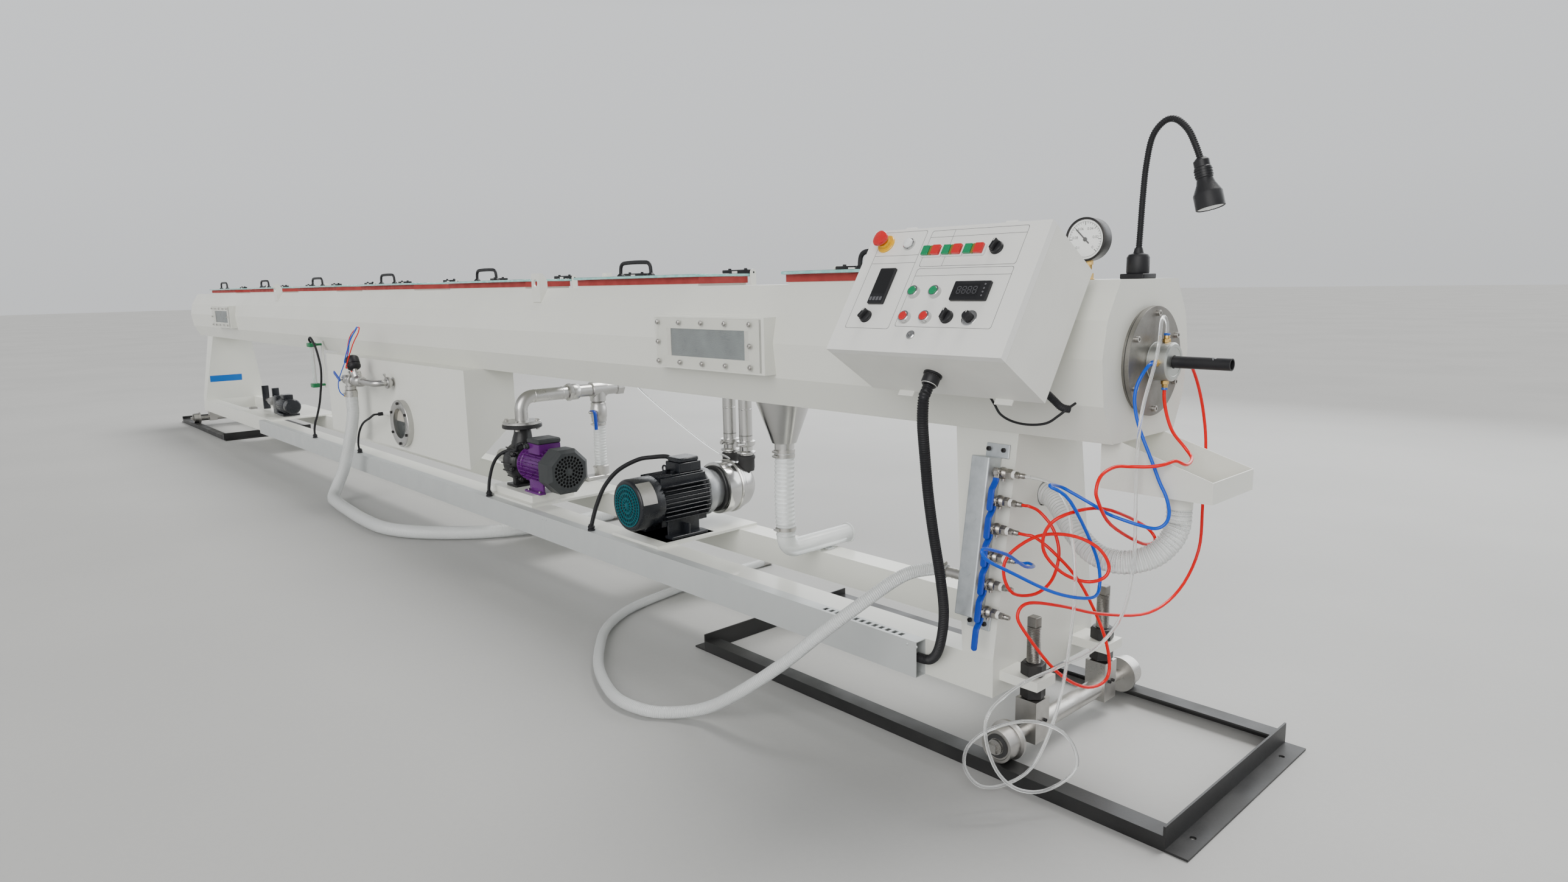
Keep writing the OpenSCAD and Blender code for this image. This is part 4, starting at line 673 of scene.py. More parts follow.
# Four jack screws, threaded M36 with a square for the spanner, carry the base on black hex nuts. Their
# feet are the bright blocks in which the axles sit, with flanged steel wheels on ball bearings.
def threaded(radius, depth, pitch, height, centre, count=24):
    """A screw: the radius follows a saw wave of the angle and the height together."""
    z = np.linspace(0, height, int(height / pitch * 5))
    a = np.linspace(0, 2 * np.pi, count, endpoint=False)
    phase = (z[:, None] / pitch + a[None] / (2 * np.pi)) % 1
    r = radius - depth * np.abs(2 * phase - 1)
    grid = np.stack([r * np.cos(a), r * np.sin(a), np.broadcast_to(z[:, None], r.shape)], axis=-1)
    return shell(grid + np.asarray(centre, float))


screws, nuts = [], []
axle_x = (-178, tank_end + 178)
jack_places = [(x, y) for x in axle_x for y in (-170, 170)]
for x, y in jack_places:
    screws.append(threaded(18, 2.2, 4.2, 187, [x, y, 155]))
    screws.append(pad([x - 13, y - 13, 341], [x + 13, y + 13, 367], 2, 1.5))
    for z in (215, 156):
        nuts.append(turned([(27, z), (31.7, z + 3), (31.7, z + 31), (27, z + 34)], [x, y, 0],
                           count=6, start=0.2))
        nuts.append(turned([(20, z), (25, z + 34.5), (20, z + 34.8)], [x, y, 0], count=24))
piece("jack_threads", screws, ground_steel, node="jack_screws")
piece("jack_nuts", nuts, black_steel)
dress(bright, "axles", "near_wheels", "far_wheels")
seals = [turned([(16, 0), (16, 3.2), (30, 3.2), (30, 0)], [x, s * 321.6, 77.3], (0, s, 0), 40, closed=True)
         for x in axle_x for s in (-1, 1)]
for name, body, chosen in (("near_seals", "near_wheels", seals[:2]),
                           ("far_seals", "far_wheels", seals[2:])):
    piece(name, chosen, rubber, body)
grub = [turned([(4.5, 0), (4.5, 6), (2.4, 6), (2.4, 3)], [axle_x[0] + 30, y + d, 100], along, 14)
        for y in (-170, 170) for d in (-9, 9)]
piece("axle_screws", grub, black_steel)

# Galvanised cable duct along the front beam, in four lengths butted together with small screws near
# the top edge, and black glands where leads go in.
duct_zinc = finish("duct_zinc", (0.56, 0.58, 0.575), (0.50, 0.52, 0.52), 0.5, 0.34, 0.12, 7, 600,
                   relief=0.00004, metallic=0.3)
dress(duct_zinc, "cable_tray")
seam_x, tray_front, tray_top = (-2460, -4510, -5620), -280, 250
joints = [pad([x - 1.5, tray_front - 1, 150], [x + 1.5, tray_front + 0.2, tray_top + 0.6], 0.6, 0.3)
          for x in seam_x]
joints += [turned([(4.2, 0), (4.2, 1.6), (2.6, 2.6)], [x + d, tray_front, 238], front, 14)
           for x in (*seam_x, -480) for d in (-16, 16)]
piece("duct_joints", joints, duct_zinc)
gland = [(13, 0), (15, 1), (15, 7), (12, 8), (12, 10), (14, 12), (14, 18), (10.5, 22), (10.5, 26)]
duct_glands = [turned(gland, [x, -262, 249.5], count=20) for x in (-3003, -2115, -4694, -5527)]
piece("duct_glands", duct_glands, moulded)

# Control cabinet of folded sheet in a wrinkled light grey coat, its door tilted towards the operator.
# Its switches, lamps, knobs and panel meters sit in thin printed frames.
wrinkle = finish("wrinkle_coat", (0.78, 0.78, 0.735), (0.68, 0.68, 0.635), 0.4, 0.42, 0.12, 8, 900,
                 relief=0.00035)
door_coat = finish("door_coat", (0.80, 0.80, 0.775), (0.74, 0.74, 0.71), 0.3, 0.36, 0.08, 6, 900,
                   relief=0.00012)
dress(wrinkle, "cabinet_box")
dress(door_coat, "cabinet_door")
panel_axes = about_x(math.radians(57))


def on_panel(shapes):
    """Shapes placed on the door, from its lower left corner: x, up the door, and out of it."""
    return [set_in(s, [-540, -530, 1040], panel_axes) for s in shapes]


def printed_frame(lo, hi, line=0.9, corner=6):
    """A thin rounded outline on the door."""
    ring = []
    for inset in (0, line):
        a = (np.arange(4)[:, None] + np.linspace(0, 1, 6)[None]) * np.pi / 2
        middle, half = (np.add(lo, hi)) / 2, np.subtract(hi, lo) / 2 - inset
        quarter = np.array([[1, 1], [-1, 1], [-1, -1], [1, -1]])[:, None] * (half - corner)
        ring.append((middle + quarter + corner * np.stack([np.cos(a), np.sin(a)], axis=-1)).reshape(-1, 2))
    at = [np.column_stack([ring[k], np.full(24, z)])
          for k, z in ((0, 0.05), (0, 0.25), (1, 0.25), (1, 0.05))]
    return shell(np.array(at), closed=True)


ink = finish("printed_line", (0.09, 0.09, 0.09), (0.16, 0.16, 0.16), 0.3, 0.5, 0.1)
lines = [printed_frame((31, 59), (167, 325)), printed_frame((182, 224), (443, 322)),
         printed_frame((182, 66), (443, 219))]
bars = ((31, 257, 167, 257.9), (31, 236, 167, 236.9), (182, 303, 443, 303.9), (182, 199, 443, 199.9),
        (247, 224, 247.9, 322))
lines += [pad([x0, v0, 0.05], [x1, v1, 0.25], 0.3, 0.05) for x0, v0, x1, v1 in bars]
piece("printed_frames", on_panel(lines), ink, "door")
chrome = finish("chrome", (0.62, 0.62, 0.62), (0.45, 0.45, 0.45), 0.3, 0.10, 0.1, 40, 300, relief=0.00003,
                metallic=1.0)
signal = {"red": (0.62, 0.012, 0.014), "green": (0.0, 0.24, 0.09), "yellow": (0.80, 0.44, 0.005),
          "amber": (0.20, 0.15, 0.02), "white": (0.85, 0.86, 0.86)}
gloss = {name: finish("button_" + name, c, tuple(0.7 * v for v in c), 0.3, 0.24, 0.08, 60, 400,
                      relief=0.00004, coat=0.3) for name, c in signal.items()}
bezels, caps = [], {name: [] for name in signal}
for x, v, colour in ((202, 154, "green"), (262, 154, "green"), (205, 88, "red"), (263, 89, "red")):
    bezels.append(turned([(15, 0), (15, 2), (14, 4), (14, 11), (12.5, 12), (11, 12), (11, 9)],
                         [x, v, 0], count=32))
    caps[colour].append(turned([(10.6, 5), (10.6, 12.5), (9.6, 13.6), (7, 13.1)], [x, v, 0], count=32))
bezels.append(turned([(16, 0), (16, 3), (14.5, 6), (12.5, 6.5), (12.5, 4)], [127, 287, 0], count=32))
caps["white"].append(turned([(12.2, 3), (12.2, 9), (10.5, 12), (6, 14)], [127, 287, 0], count=32))
caps["yellow"].append(turned([(24, 0), (24, 2.5), (22.5, 4), (15, 4.5), (15, 14), (12, 15)],
                             [53, 291, 0], count=36))


def fluted(place, count, lobes, depth, steps):
    """A knob whose wall waves in and out round its axis, from (radius, height) steps."""
    a = np.linspace(0, 2 * np.pi, count, endpoint=False)
    wave = 1 + depth * np.cos(lobes * a)
    x, y = np.cos(a) * wave, np.sin(a) * wave
    rings = [np.column_stack([place[0] + r * x, place[1] + r * y, np.full(count, h)]) for r, h in steps]
    return shell(np.array(rings))


caps["red"].append(fluted((53, 291), 36, 3, 0.06,
                          ((11, 13), (14, 17), (19.5, 23), (20.5, 27), (19, 31), (12, 33.5))))
for x in (179, 238, 297):
    caps["white"].append(pad([x, 248, 0], [x + 56, 277, 6], 3, 1.2))
    caps["green"].append(pad([x + 2.5, 250, 5.5], [x + 23, 275, 12], 2, 1.2))
    caps["amber"].append(pad([x + 23.5, 250, 5.5], [x + 31, 275, 10.5], 1, 0.8))
    caps["red"].append(pad([x + 31.5, 250, 5.5], [x + 53.5, 275, 13.5], 2, 1.2))
piece("button_bezels", on_panel(bezels), chrome, "door", node="door_controls")
for name, shapes in caps.items():
    piece("buttons_" + name, on_panel(shapes), gloss[name], "door")
knobs, marks = [], []
for x, v, angle in ((380, 266, 75), (85, 90, 60), (320, 92, 80)):
    knobs.append(turned([(16, 0), (16, 2.5), (14.5, 4), (14.5, 9), (13, 10)], [x, v, 0], count=32))
    turn = about_z(math.radians(angle))
    knobs.append(set_in(pad([-13, -4.2, 9], [14, 4.2, 22], 3.8, 1.5), [x, v, 0], turn))
    marks.append(set_in(pad([5, -0.9, 21.9], [13, 0.9, 22.4], 0.8, 0.1), [x, v, 0], turn))
dial_at = (379, 91)
knobs.append(fluted(dial_at, 48, 16, 0.03, ((11, 3), (10.5, 15), (9, 17), (7, 17.5))))
piece("knobs", on_panel(knobs), moulded, "door")
marks += [pad([378.2, 95, 17.3], [379.8, 101, 17.9], 0.6, 0.1)]
piece("knob_marks", on_panel(marks), white_nylon, "door")
rings = [turned([(19, 0), (19, 1.2), (17.5, 2), (12, 2.2)], [*dial_at, 0], count=40),
         turned([(11, 0), (11, 3), (9, 4.5), (4, 4.5), (4, 2.5)], [240, 45, 0], count=32)]
piece("dial_ring", on_panel(rings), chrome, "door")
ticks = [set_in(pad([13, -0.3, 2.1], [16.5, 0.3, 2.35], 0.25, 0.05), [*dial_at, 0], about_z(t))
         for t in np.radians(np.linspace(-60, 240, 11))]
ticks.append(pad([239.4, 41.5, 4.4], [240.6, 48.5, 4.7], 0.4, 0.1))
piece("dial_ticks", on_panel(ticks), ink, "door")
screen = finish("dark_screen", (0.006, 0.006, 0.007), (0.014, 0.014, 0.016), 0.3, 0.28, 0.05)
meters = [pad([310, 132, 0], [406, 180, 8], 3, 1.5), pad([75, 123, 0], [123, 219, 8], 3, 1.5)]
piece("meter_frames", on_panel(meters), moulded, "door")
piece("meter_screens", on_panel([pad([317, 141, 7.8], [381, 171, 8.3], 2, 0.2),
                                 pad([79, 150, 7.8], [119, 214, 8.3], 2, 0.2)]), screen, "door")
segment = finish("unlit_segments", (0.10, 0.10, 0.11), (0.14, 0.14, 0.15), 0.3, 0.3, 0.05)
digits = []
for k in range(4):
    x = 325 + 14 * k
    digits += [pad([x + 1, v, 8.25], [x + 8, v + 1.3, 8.4], 0.5, 0.05) for v in (147, 155.4, 164)]
    digits += [pad([x + dx, v, 8.25], [x + dx + 1.3, v + 6.6, 8.4], 0.5, 0.05) for dx in (-0.6, 8.3)
               for v in (148.5, 157)]
digits += [turned([(2.2, 7.9), (2.2, 9), (1.5, 9.4)], [394, v, 0], count=14) for v in (142, 151, 160, 170)]
digits += [pad([80 + 10 * k, 130, 7.9], [87 + 10 * k, 140, 8.8], 1.2, 0.3) for k in range(4)]
piece("meter_digits", on_panel(digits), segment, "door")

# Vacuum gauge on the deck, 100 mm across, with a plain scale and its brass stem. Beside it stands the
# work lamp on its ribbed gooseneck, which leans out over the calibrator.
def numeral(text, size):
    """Plain figures from Blender's own font, as points and faces in the plane."""
    curve = bpy.data.curves.new("numeral", "FONT")
    curve.body, curve.size, curve.extrude = text, size, 0.05
    curve.align_x = curve.align_y = "CENTER"
    holder = bpy.data.objects.new("numeral", curve)
    mesh = holder.to_mesh()
    points = np.array([tuple(v.co) for v in mesh.vertices])
    faces = [list(p.vertices) for p in mesh.polygons]
    holder.to_mesh_clear()
    bpy.data.objects.remove(holder)
    bpy.data.curves.remove(curve)
    return points, faces


steel = finish("stainless", (0.56, 0.555, 0.54), (0.40, 0.39, 0.37), 0.4, 0.22, 0.16, 12, 240, (1, 1, 5),
               0.00008, 1.0)
paper = finish("dial_face", (0.86, 0.87, 0.86), (0.80, 0.81, 0.80), 0.3, 0.4, 0.05)
dial = [-130, -72, 1285]
case = [turned([(48, -36), (50, -33), (50, -3), (51.5, -2), (51.5, 2), (50, 3), (46.5, 3), (46, 0.5),
                (46, -1)], dial, front, 64)]
piece("gauge_case", case, black_steel, node="vacuum_gauge")
piece("gauge_face", [turned([(45.9, -1), (45.9, 0.2)], dial, front, 64)], paper)
marks = []
for k, t in enumerate(np.radians(np.linspace(225, -45, 31))):
    tall, wide = (8, 0.8) if k % 5 == 0 else (4.5, 0.45)
    marks.append(set_in(pad([41 - tall, -wide, 0.2], [41, wide, 0.5], 0.25, 0.05),
                        dial, about_z(t) @ facing))
needle = math.radians(135)
marks.append(set_in(pad([-14, -1.6, 1.0], [34, 1.6, 1.6], 1.4, 0.2), dial, about_z(needle) @ facing))
marks.append(turned([(5, 0.5), (5, 2), (3.5, 2.6)], dial, front, 20))
marks.append(turned([(40.6, 0.2), (40.6, 0.45), (41.4, 0.45), (41.4, 0.2)], dial, front, 64, closed=True))
for k, text in enumerate(("0.1", "0.08", "0.06", "0.04", "0.02", "0")):
    t = math.radians(225 - 54 * k)
    place = [dial[0] + 27 * math.cos(t), dial[1] - 0.3, dial[2] + 27 * math.sin(t)]
    marks.append(set_in(numeral(text, 9), place, facing))
piece("gauge_marks", marks, ink)
stem = lathe([-130, -50, 0], up, ([(14, 1191), (14, 1193), (11, 1194)], 24),
             ([(11, 1194), (11, 1206)], 6), ([(7, 1205), (7, 1226), (9, 1227)], 20),
             ([(9.5, 1226), (9.5, 1240)], 6))
piece("gauge_stem", stem, brass)
neck_route = [[-33, 0, 1250], [-31, 0, 1300], [-28, 0, 1380], [-23, 0, 1450], [-11, 0, 1510], [15, 0, 1540],
              [42, 0, 1541], [70, 0, 1516], [89, 0, 1480], [103, 0, 1445]]


def ribbed_tube(points, radius, depth, pitch, sides=20):
    """A conduit: even rings along the path, whose radius rises and falls once a pitch."""
    path, even = spaced(smooth_route(points, 12), pitch / 4)
    return carried(path, circle(radius - depth * (np.arange(len(even)) % 4 < 2), sides))


fall = np.array([28, 0, -108]) / math.hypot(28, 108)
start = np.array([103, 0, 1445.0])
foot = [pad([-62, -32, 1191], [-2, 32, 1203], 4, 1.5)]
foot += lathe([-33, 0, 0], up,
              ([(25, 1203), (26, 1206), (26, 1240), (22, 1247), (12, 1250), (9, 1262)], 32))
foot.append(ribbed_tube(neck_route, 7.6, 1.1, 5, 18))
foot.append(turned([(11, -6), (13, -4), (17, 0), (17, 14), (18.5, 16), (18.5, 38), (17, 40), (20, 52),
                    (29, 70), (31, 74), (31, 106), (29, 107), (27, 104)], start, fall, 36))
foot += [turned([(19.6, h), (19.6, h + 2)], start, fall, 36) for h in (20, 26, 32)]
piece("lamp_body", foot, moulded, node="work_lamp")
piece("lamp_lens", [turned([(27, 103.5), (27, 105), (20, 106.5)], start, fall, 36)], paper)

# Leads: the corrugated conduit from the cabinet to the duct, the leads of both pump motors and of
# the level sensor, and the thin lead behind the cabinet.
conduit = [[-280, -466, 964], [-280, -475.8, 948.9], [-280, -484, 935], [-289, -476, 880],
           [-303, -450, 800], [-312, -425, 700], [-320, -395, 600], [-325, -360, 480], [-340, -325, 370],
           [-380, -290, 265], [-430, -262, 208], [-480, -260, 200]]
leads = [ribbed_tube(conduit, 13.2, 1.8, 6, 20)]
pump_lead = [[-2843, -167, 500], [-2843, -176, 500], [-2862, -178, 490], [-2891, -172, 467],
             [-2948, -185, 459], [-3001, -205, 432], [-3021, -225, 390], [-3020, -245, 334],
             [-3014, -256, 290], [-3005, -262, 262], [-3003, -262, 250.5]]
vacuum_lead = [[-1885, -30, 520], [-1892, -30, 531], [-1912, -35, 539], [-1961, -60, 534],
               [-2011, -100, 523], [-2076, -150, 480], [-2109, -195, 419], [-2117, -230, 349],
               [-2118, -250, 297], [-2115, -262, 262], [-2115, -262, 250.5]]
sensor_lead = [[-4200, -310.5, 530], [-4200, -326, 530], [-4204, -334, 528], [-4267, -334, 505],
               [-4410, -325, 460], [-4548, -305, 389], [-4655, -280, 307], [-4694, -262, 262],
               [-4694, -262, 250.5]]
for points, radius in ((pump_lead, 8), (vacuum_lead, 9), (sensor_lead, 6)):
    leads.append(ribbed_tube(points, radius, 0.8, 4, 14))
loop = smooth_route([[-300, -330, 960], [-270, -300, 935], [-258, -268, 923], [-242, -266, 904],
                     [-224, -266, 881], [-189, -266, 867], [-143, -266, 864], [-100, -266, 872],
                     [-74, -262, 890], [-58, -255, 905], [-50, -230, 918]], 5)
leads.append(carried(loop, circle(3, 10)))
stub = [[-120, -350, 985], [-105, -310, 962], [-94, -285, 945], [-82, -268, 926], [-68, -258, 910],
        [-55, -244, 905]]
leads.append(ribbed_tube(stub, 9, 0.8, 4, 14))
gauge_lead = [[-5450, -250, 872], [-5446, -262, 890], [-5420, -266, 905], [-5391, -266, 903],
              [-5330, -266, 860], [-5285, -266, 800], [-5255, -266, 725], [-5268, -266, 647],
              [-5310, -266, 560], [-5354, -266, 486], [-5430, -266, 400], [-5482, -266, 352],
              [-5520, -264, 300], [-5527, -262, 250]]
leads.append(ribbed_tube(gauge_lead, 7, 0.7, 4, 14))
piece("leads", leads, moulded, node="wiring")
cabinet_gland = turned([(22, 0), (22, 5), (18, 6), (20, 8), (20, 24), (16, 30)], [0, 0, 0], count=24)
piece("cabinet_gland", on_panel([set_in(cabinet_gland, [260, 0, -95], facing)]), moulded)

# Water pump: a black cast casing with its flange bolted under the steel pipe, and a purple finned motor
# whose dark octagonal cowl has rings of round air holes.
def perforated(outline, holes, origin, axes, thick):
    """A flat plate: outline and holes are joined by triangles in the plane, then given a thickness."""
    loops = [np.asarray(loop, float) for loop in [outline, *holes]]
    starts = np.cumsum([0] + [len(loop) for loop in loops])
    edges = [(a + k, a + (k + 1) % (b - a)) for a, b in zip(starts[:-1], starts[1:]) for k in range(b - a)]
    flat = [Vector(p) for p in np.vstack(loops)]
    points, _, triangles, came_from, _, _ = delaunay_2d_cdt(flat, edges, [], 0, 1e-6)
    points = np.array([tuple(p) for p in points])
    triangles = np.array(triangles)
    middle = points[triangles].mean(axis=1)
    inside = np.zeros(len(middle), bool)
    for loop in loops[1:]:
        ahead_of = np.roll(loop, -1, axis=0)
        crosses = (loop[:, 1] > middle[:, None, 1]) != (ahead_of[:, 1] > middle[:, None, 1])
        with np.errstate(divide="ignore", invalid="ignore"):
            rise = (middle[:, None, 1] - loop[:, 1]) / (ahead_of[:, 1] - loop[:, 1])
            at = loop[:, 0] + (ahead_of[:, 0] - loop[:, 0]) * rise
        inside |= (crosses & (middle[:, None, 0] < at)).sum(axis=1) % 2 == 1
    kept = triangles[~inside]
    place = np.empty(starts[-1], int)
    for new, olds in enumerate(came_from):
        place[list(olds)] = new
    count = len(points)
    walls = [[place[a], place[b], place[b] + count, place[a] + count] for a, b in edges]
    faces = kept.tolist() + (kept[:, ::-1] + count).tolist() + walls
    solid = np.vstack([np.column_stack([points, np.full(count, z)]) for z in (0, thick)])
    return set_in((solid, faces), origin, axes)


def bolt(place, axis=(0, 0, 1), size=10, tall=7):
    """A hexagon head on a washer."""
    return [turned([(size * 1.15, 0), (size * 1.15, 1.6), (size * 0.9, 1.7)], place, axis, 20),
            turned([(size * 0.95, 1.6), (size, 2.4), (size, tall - 1), (size * 0.85, tall)],
                   place, axis, 6)]


def fins(centre, count, inner, outer, spans, thick=3.0):
    """Straight cooling fins: one thin block for each angle round a motor along x, in the given lengths."""
    made = []
    for k in range(count):
        for lo, hi in spans[k % len(spans)]:
            fin = pad([lo, inner, -thick / 2], [hi, outer, thick / 2], 1.2, 0.6, 2)
            made.append(set_in(fin, centre, about_x(2 * np.pi * k / count)))
    return made


cast_black = finish("cast_black", (0.010, 0.010, 0.011), (0.03, 0.03, 0.03), 0.4, 0.26, 0.16, 16, 160,
                    relief=0.0006, mirror=0.36)
purple = finish("purple_enamel", (0.12, 0.008, 0.17), (0.045, 0.004, 0.07), 0.45, 0.22, 0.12, 12, 200,
                relief=0.0004, mirror=0.35)
cowl_grey = finish("cowl_grey", (0.032, 0.035, 0.037), (0.055, 0.06, 0.06), 0.35, 0.38, 0.15, 10, 500,
                   relief=0.00015, mirror=0.3)
pump = np.array([-2935.0, -110.0, 405.0])
casing = [turned([(52, -52), (70, -50), (80, -45), (90, -36), (95, -20), (95, 20), (90, 36), (80, 45),
                  (74, 50), (74, 74), (60, 75)], pump, along, 64),
          carried(smooth_route([[0, -6, 60], [0, -3, 95], [0, 0, 125], [0, 0, 158]], 5) + pump,
                  circle(np.linspace(54, 35, 16), 32)),
          turned([(36, 150), (60, 153), (88, 156), (90, 158), (90, 171), (88, 173)], pump, up, 64)]
for a in np.radians(np.arange(15, 375, 45)):
    spot = pump + [0, 87 * math.cos(a), 87 * math.sin(a)]
    casing.append(turned([(9, 30), (11, 33), (11, 52), (9, 54)], spot, along, 18))
    casing += bolt(spot + [54, 0, 0], along, 6, 6)
casing += [pad(pump + [-52, -72, -113], pump + [42, 72, -101], 8, 2),
           pad(pump + [-12, -60, -103], pump + [12, 60, -58], 6, 2)]
ribs = [set_in(pad([-44, 88, -2.5], [44, 97, 2.5], 2, 1, 2), pump, about_x(a))
        for a in np.radians(np.arange(0, 360, 22.5))]
piece("pump_casing", casing + ribs, cast_black, node="water_pump")
suction = [turned([(30, -215), (34, -213), (34, -120), (40, -117), (42, -112), (42, -92), (38, -88),
                   (38, -48)], pump, along, 40)]
piece("pump_suction", suction, steel)
motor_at = pump + [75, 0, 0]
barrel = [turned([(60, 0), (78, 2), (80, 5), (80, 13), (70, 16), (67, 20), (67, 236)], motor_at, along, 64)]
barrel += fins(motor_at, 26, 64, 84, [[(20, 84), (92, 150), (158, 232)],
                                      [(20, 60), (68, 122), (130, 196), (204, 232)]])
barrel += [pad(motor_at + [68, -55, 60], motor_at + [172, 55, 106], 5, 2)]
barrel += [pad(motor_at + [60, s * 62 - 16, -113], motor_at + [200, s * 62 + 16, -104], 4, 1.5)
           for s in (-1, 1)]
barrel += [pad(motor_at + [70, s * 50 - 6, -106], motor_at + [190, s * 50 + 6, -44], 3, 1.5)
           for s in (-1, 1)]
piece("pump_motor_body", barrel, purple, node="water_pump_motor")
around_holes = [np.array([22.0 * k * math.cos(a), 22.0 * k * math.sin(a)]) * 0.72
                for k in (1.5, 2.35, 3.2, 4.05)
                for a in k + np.linspace(0, 2 * np.pi, int(6.4 * k) + 1)[:-1]]
ring_of_hole = circle(6.4, 10)
corners = np.radians(np.arange(22.5, 360, 45))
octagon = 105.0 * np.column_stack([np.cos(corners), np.sin(corners)])
cowl = [perforated(octagon * 0.84, [ring_of_hole + p for p in around_holes], motor_at + [327, 0, 0],
                   [back, up, along], 3)]
wall = ((238, 1.0), (316, 1.0), (330, 0.84), (327, 0.80), (314, 0.96), (238, 0.96))
points, faces = shell(np.array([np.column_stack([np.full(8, x), *(octagon * k).T]) for x, k in wall]),
                      closed=True)
cowl.append((points + motor_at, faces))
cowl += [pad(motor_at + [66, -57, 106], motor_at + [174, 57, 129], 7, 6),
         turned([(13, 328), (13, 331.5), (10, 332.5)], motor_at, along, 24)]
cowl += [turned([(12, 0), (12, 10), (9, 12), (9, 20)], motor_at + [78, -55, 92], front, 18)]
piece("pump_motor_cowl", cowl, cowl_grey, sharp=25)
dark = finish("unlit_inside", (0.006, 0.006, 0.006), (0.012, 0.012, 0.012), 0.3, 0.8, 0.1)
piece("pump_motor_inside", [turned([(78, 318), (78, 320)], motor_at, along, 32)], dark)
small_bolts = [b for s in (-1, 1) for x in (80, 180)
               for b in bolt(motor_at + [x, s * 66, -104], size=6, tall=6)]
for a in np.radians([45, 135, 225, 315]):
    x, y = pump[0] + 72 * math.cos(a), pump[1] + 72 * math.sin(a)
    small_bolts += [*bolt([x, y, 592], up, 10, 9), *bolt([x, y, 560], (0, 0, -1), 10, 9)]
piece("pump_bolts", small_bolts, bright)
plinths = [pad([-3060, -215, 257.5], [-2680, -5, 292], 2, 1),
           pad([-1960, -185, 257.5], [-1720, 40, 260], 2, 0.6)]
piece("pump_plinths", plinths, white)

# Discharge pipe: polished stainless, bolted on the pump, bent back under the tank to a row of screwed
# fittings. A ball valve with a blue lever and a clear ribbed hose drop from its tee to the base.
drop_y, out_z = 300, 700
pump_x, pump_y = pump[:2]
bend = np.linspace(0, np.pi / 2, 13)
around_bend = np.column_stack([np.full(13, pump_x), pump_y + 60 - 60 * np.cos(bend),
                               640 + 60 * np.sin(bend)])
run_out = np.vstack([[pump_x, pump_y, 590], [pump_x, pump_y, 615], around_bend,
                     [[pump_x, y, out_z] for y in (60, 200, 300, 410)]])
pipes = [carried(run_out, circle(30, 40))]
pipes += lathe([pump_x, pump_y, 0], up,
               ([(32, 578), (84, 578), (86, 579.5), (86, 590.5), (84, 592), (32, 592)], 64))
pipes += lathe([pump_x, 0, out_z], back, *[([(30, y), (31.2, y + 1), (31.2, y + 3), (30, y + 4)], 40)
                                           for y in (-45, 100)],
               ([(30, 128), (40, 130), (42, 134), (42, 150), (38, 152)], 8),
               ([(36, 152), (38, 156), (38, 184), (34, 190)], 36),
               ([(34, 258), (39, 262), (39, 338), (34, 342)], 36),
               ([(30, 398), (37, 400), (37, 436), (30, 440)], 6))
pipes += lathe([pump_x, drop_y, 0], up, ([(33, 640), (38, 644), (38, 690)], 36),
               ([(30, 540), (37, 543), (37, 560), (40, 566), (40, 610), (37, 616), (37, 634),
                 (33, 638)], 36))
pipes += [turned([(8, 30), (8, 52), (6, 54)], [pump_x, drop_y, 590], front, 16),
          pad([pump_x - 36, 200, 260], [pump_x + 36, drop_y + 30, 279], 8, 2)]
piece("discharge_fittings", pipes, steel, node="discharge_pipe")
lever_route = [[pump_x + x, 250, z] for x, z in ((12, 600), (34, 601), (46, 592), (50, 560), (52, 510))]
drop_lever = carried(smooth_route(lever_route, 6), circle(1, 14) * [3, 9])
piece("drop_lever", [drop_lever], vinyl)


def corrugated(path, radius, depth, pitch, sides=28):
    """A ribbed hose: even rings along a path, with a radius that swells once a pitch."""
    path, even = spaced(path, pitch / 6)
    return carried(path, circle(radius - depth * (0.5 - 0.5 * np.cos(2 * np.pi * even / pitch)), sides))


def band_clamp(place, axis, radius, wide=12):
    """A worm-drive clamp: a thin band, the housing of its screw and the screw."""
    axis = np.asarray(axis, float) / np.linalg.norm(axis)
    side = np.cross(axis, (0, 1, 0) if abs(axis[1]) < 0.9 else (0, 0, 1))
    side = side / np.linalg.norm(side)
    out = np.cross(side, axis)
    band = turned([(radius, 0), (radius, wide), (radius + 1.1, wide), (radius + 1.1, 0)], place, axis, 40,
                  closed=True)
    spot = np.asarray(place, float) + axis * wide / 2 - out * (radius + 5)
    return [band, turned([(5.5, -9), (5.5, 9)], spot, side, 8),
            turned([(3.4, 9), (4.6, 10), (4.6, 15), (3.6, 16)], spot, side, 6)]


translucent = finish("translucent_hose", (0.90, 0.92, 0.91), (0.78, 0.81, 0.81), 0.35, 0.16, 0.06, 20, 500,
                     transmission=0.45)
drop_route = [[pump_x, drop_y + sway, z] for sway, z in ((0, 545), (0, 480), (-2, 400), (0, 300))]
piece("drop_hose", [corrugated(smooth_route(drop_route, 12), 31, 3.0, 14)], translucent)
clamps = [shape for z in (524, 312) for shape in band_clamp([pump_x, drop_y, z], up, 31.5)]
clamps += lathe([pump_x, drop_y, 0], up, ([(33, 260), (36, 264), (36, 322), (33, 326)], 32))
piece("drop_clamps", clamps, bright)

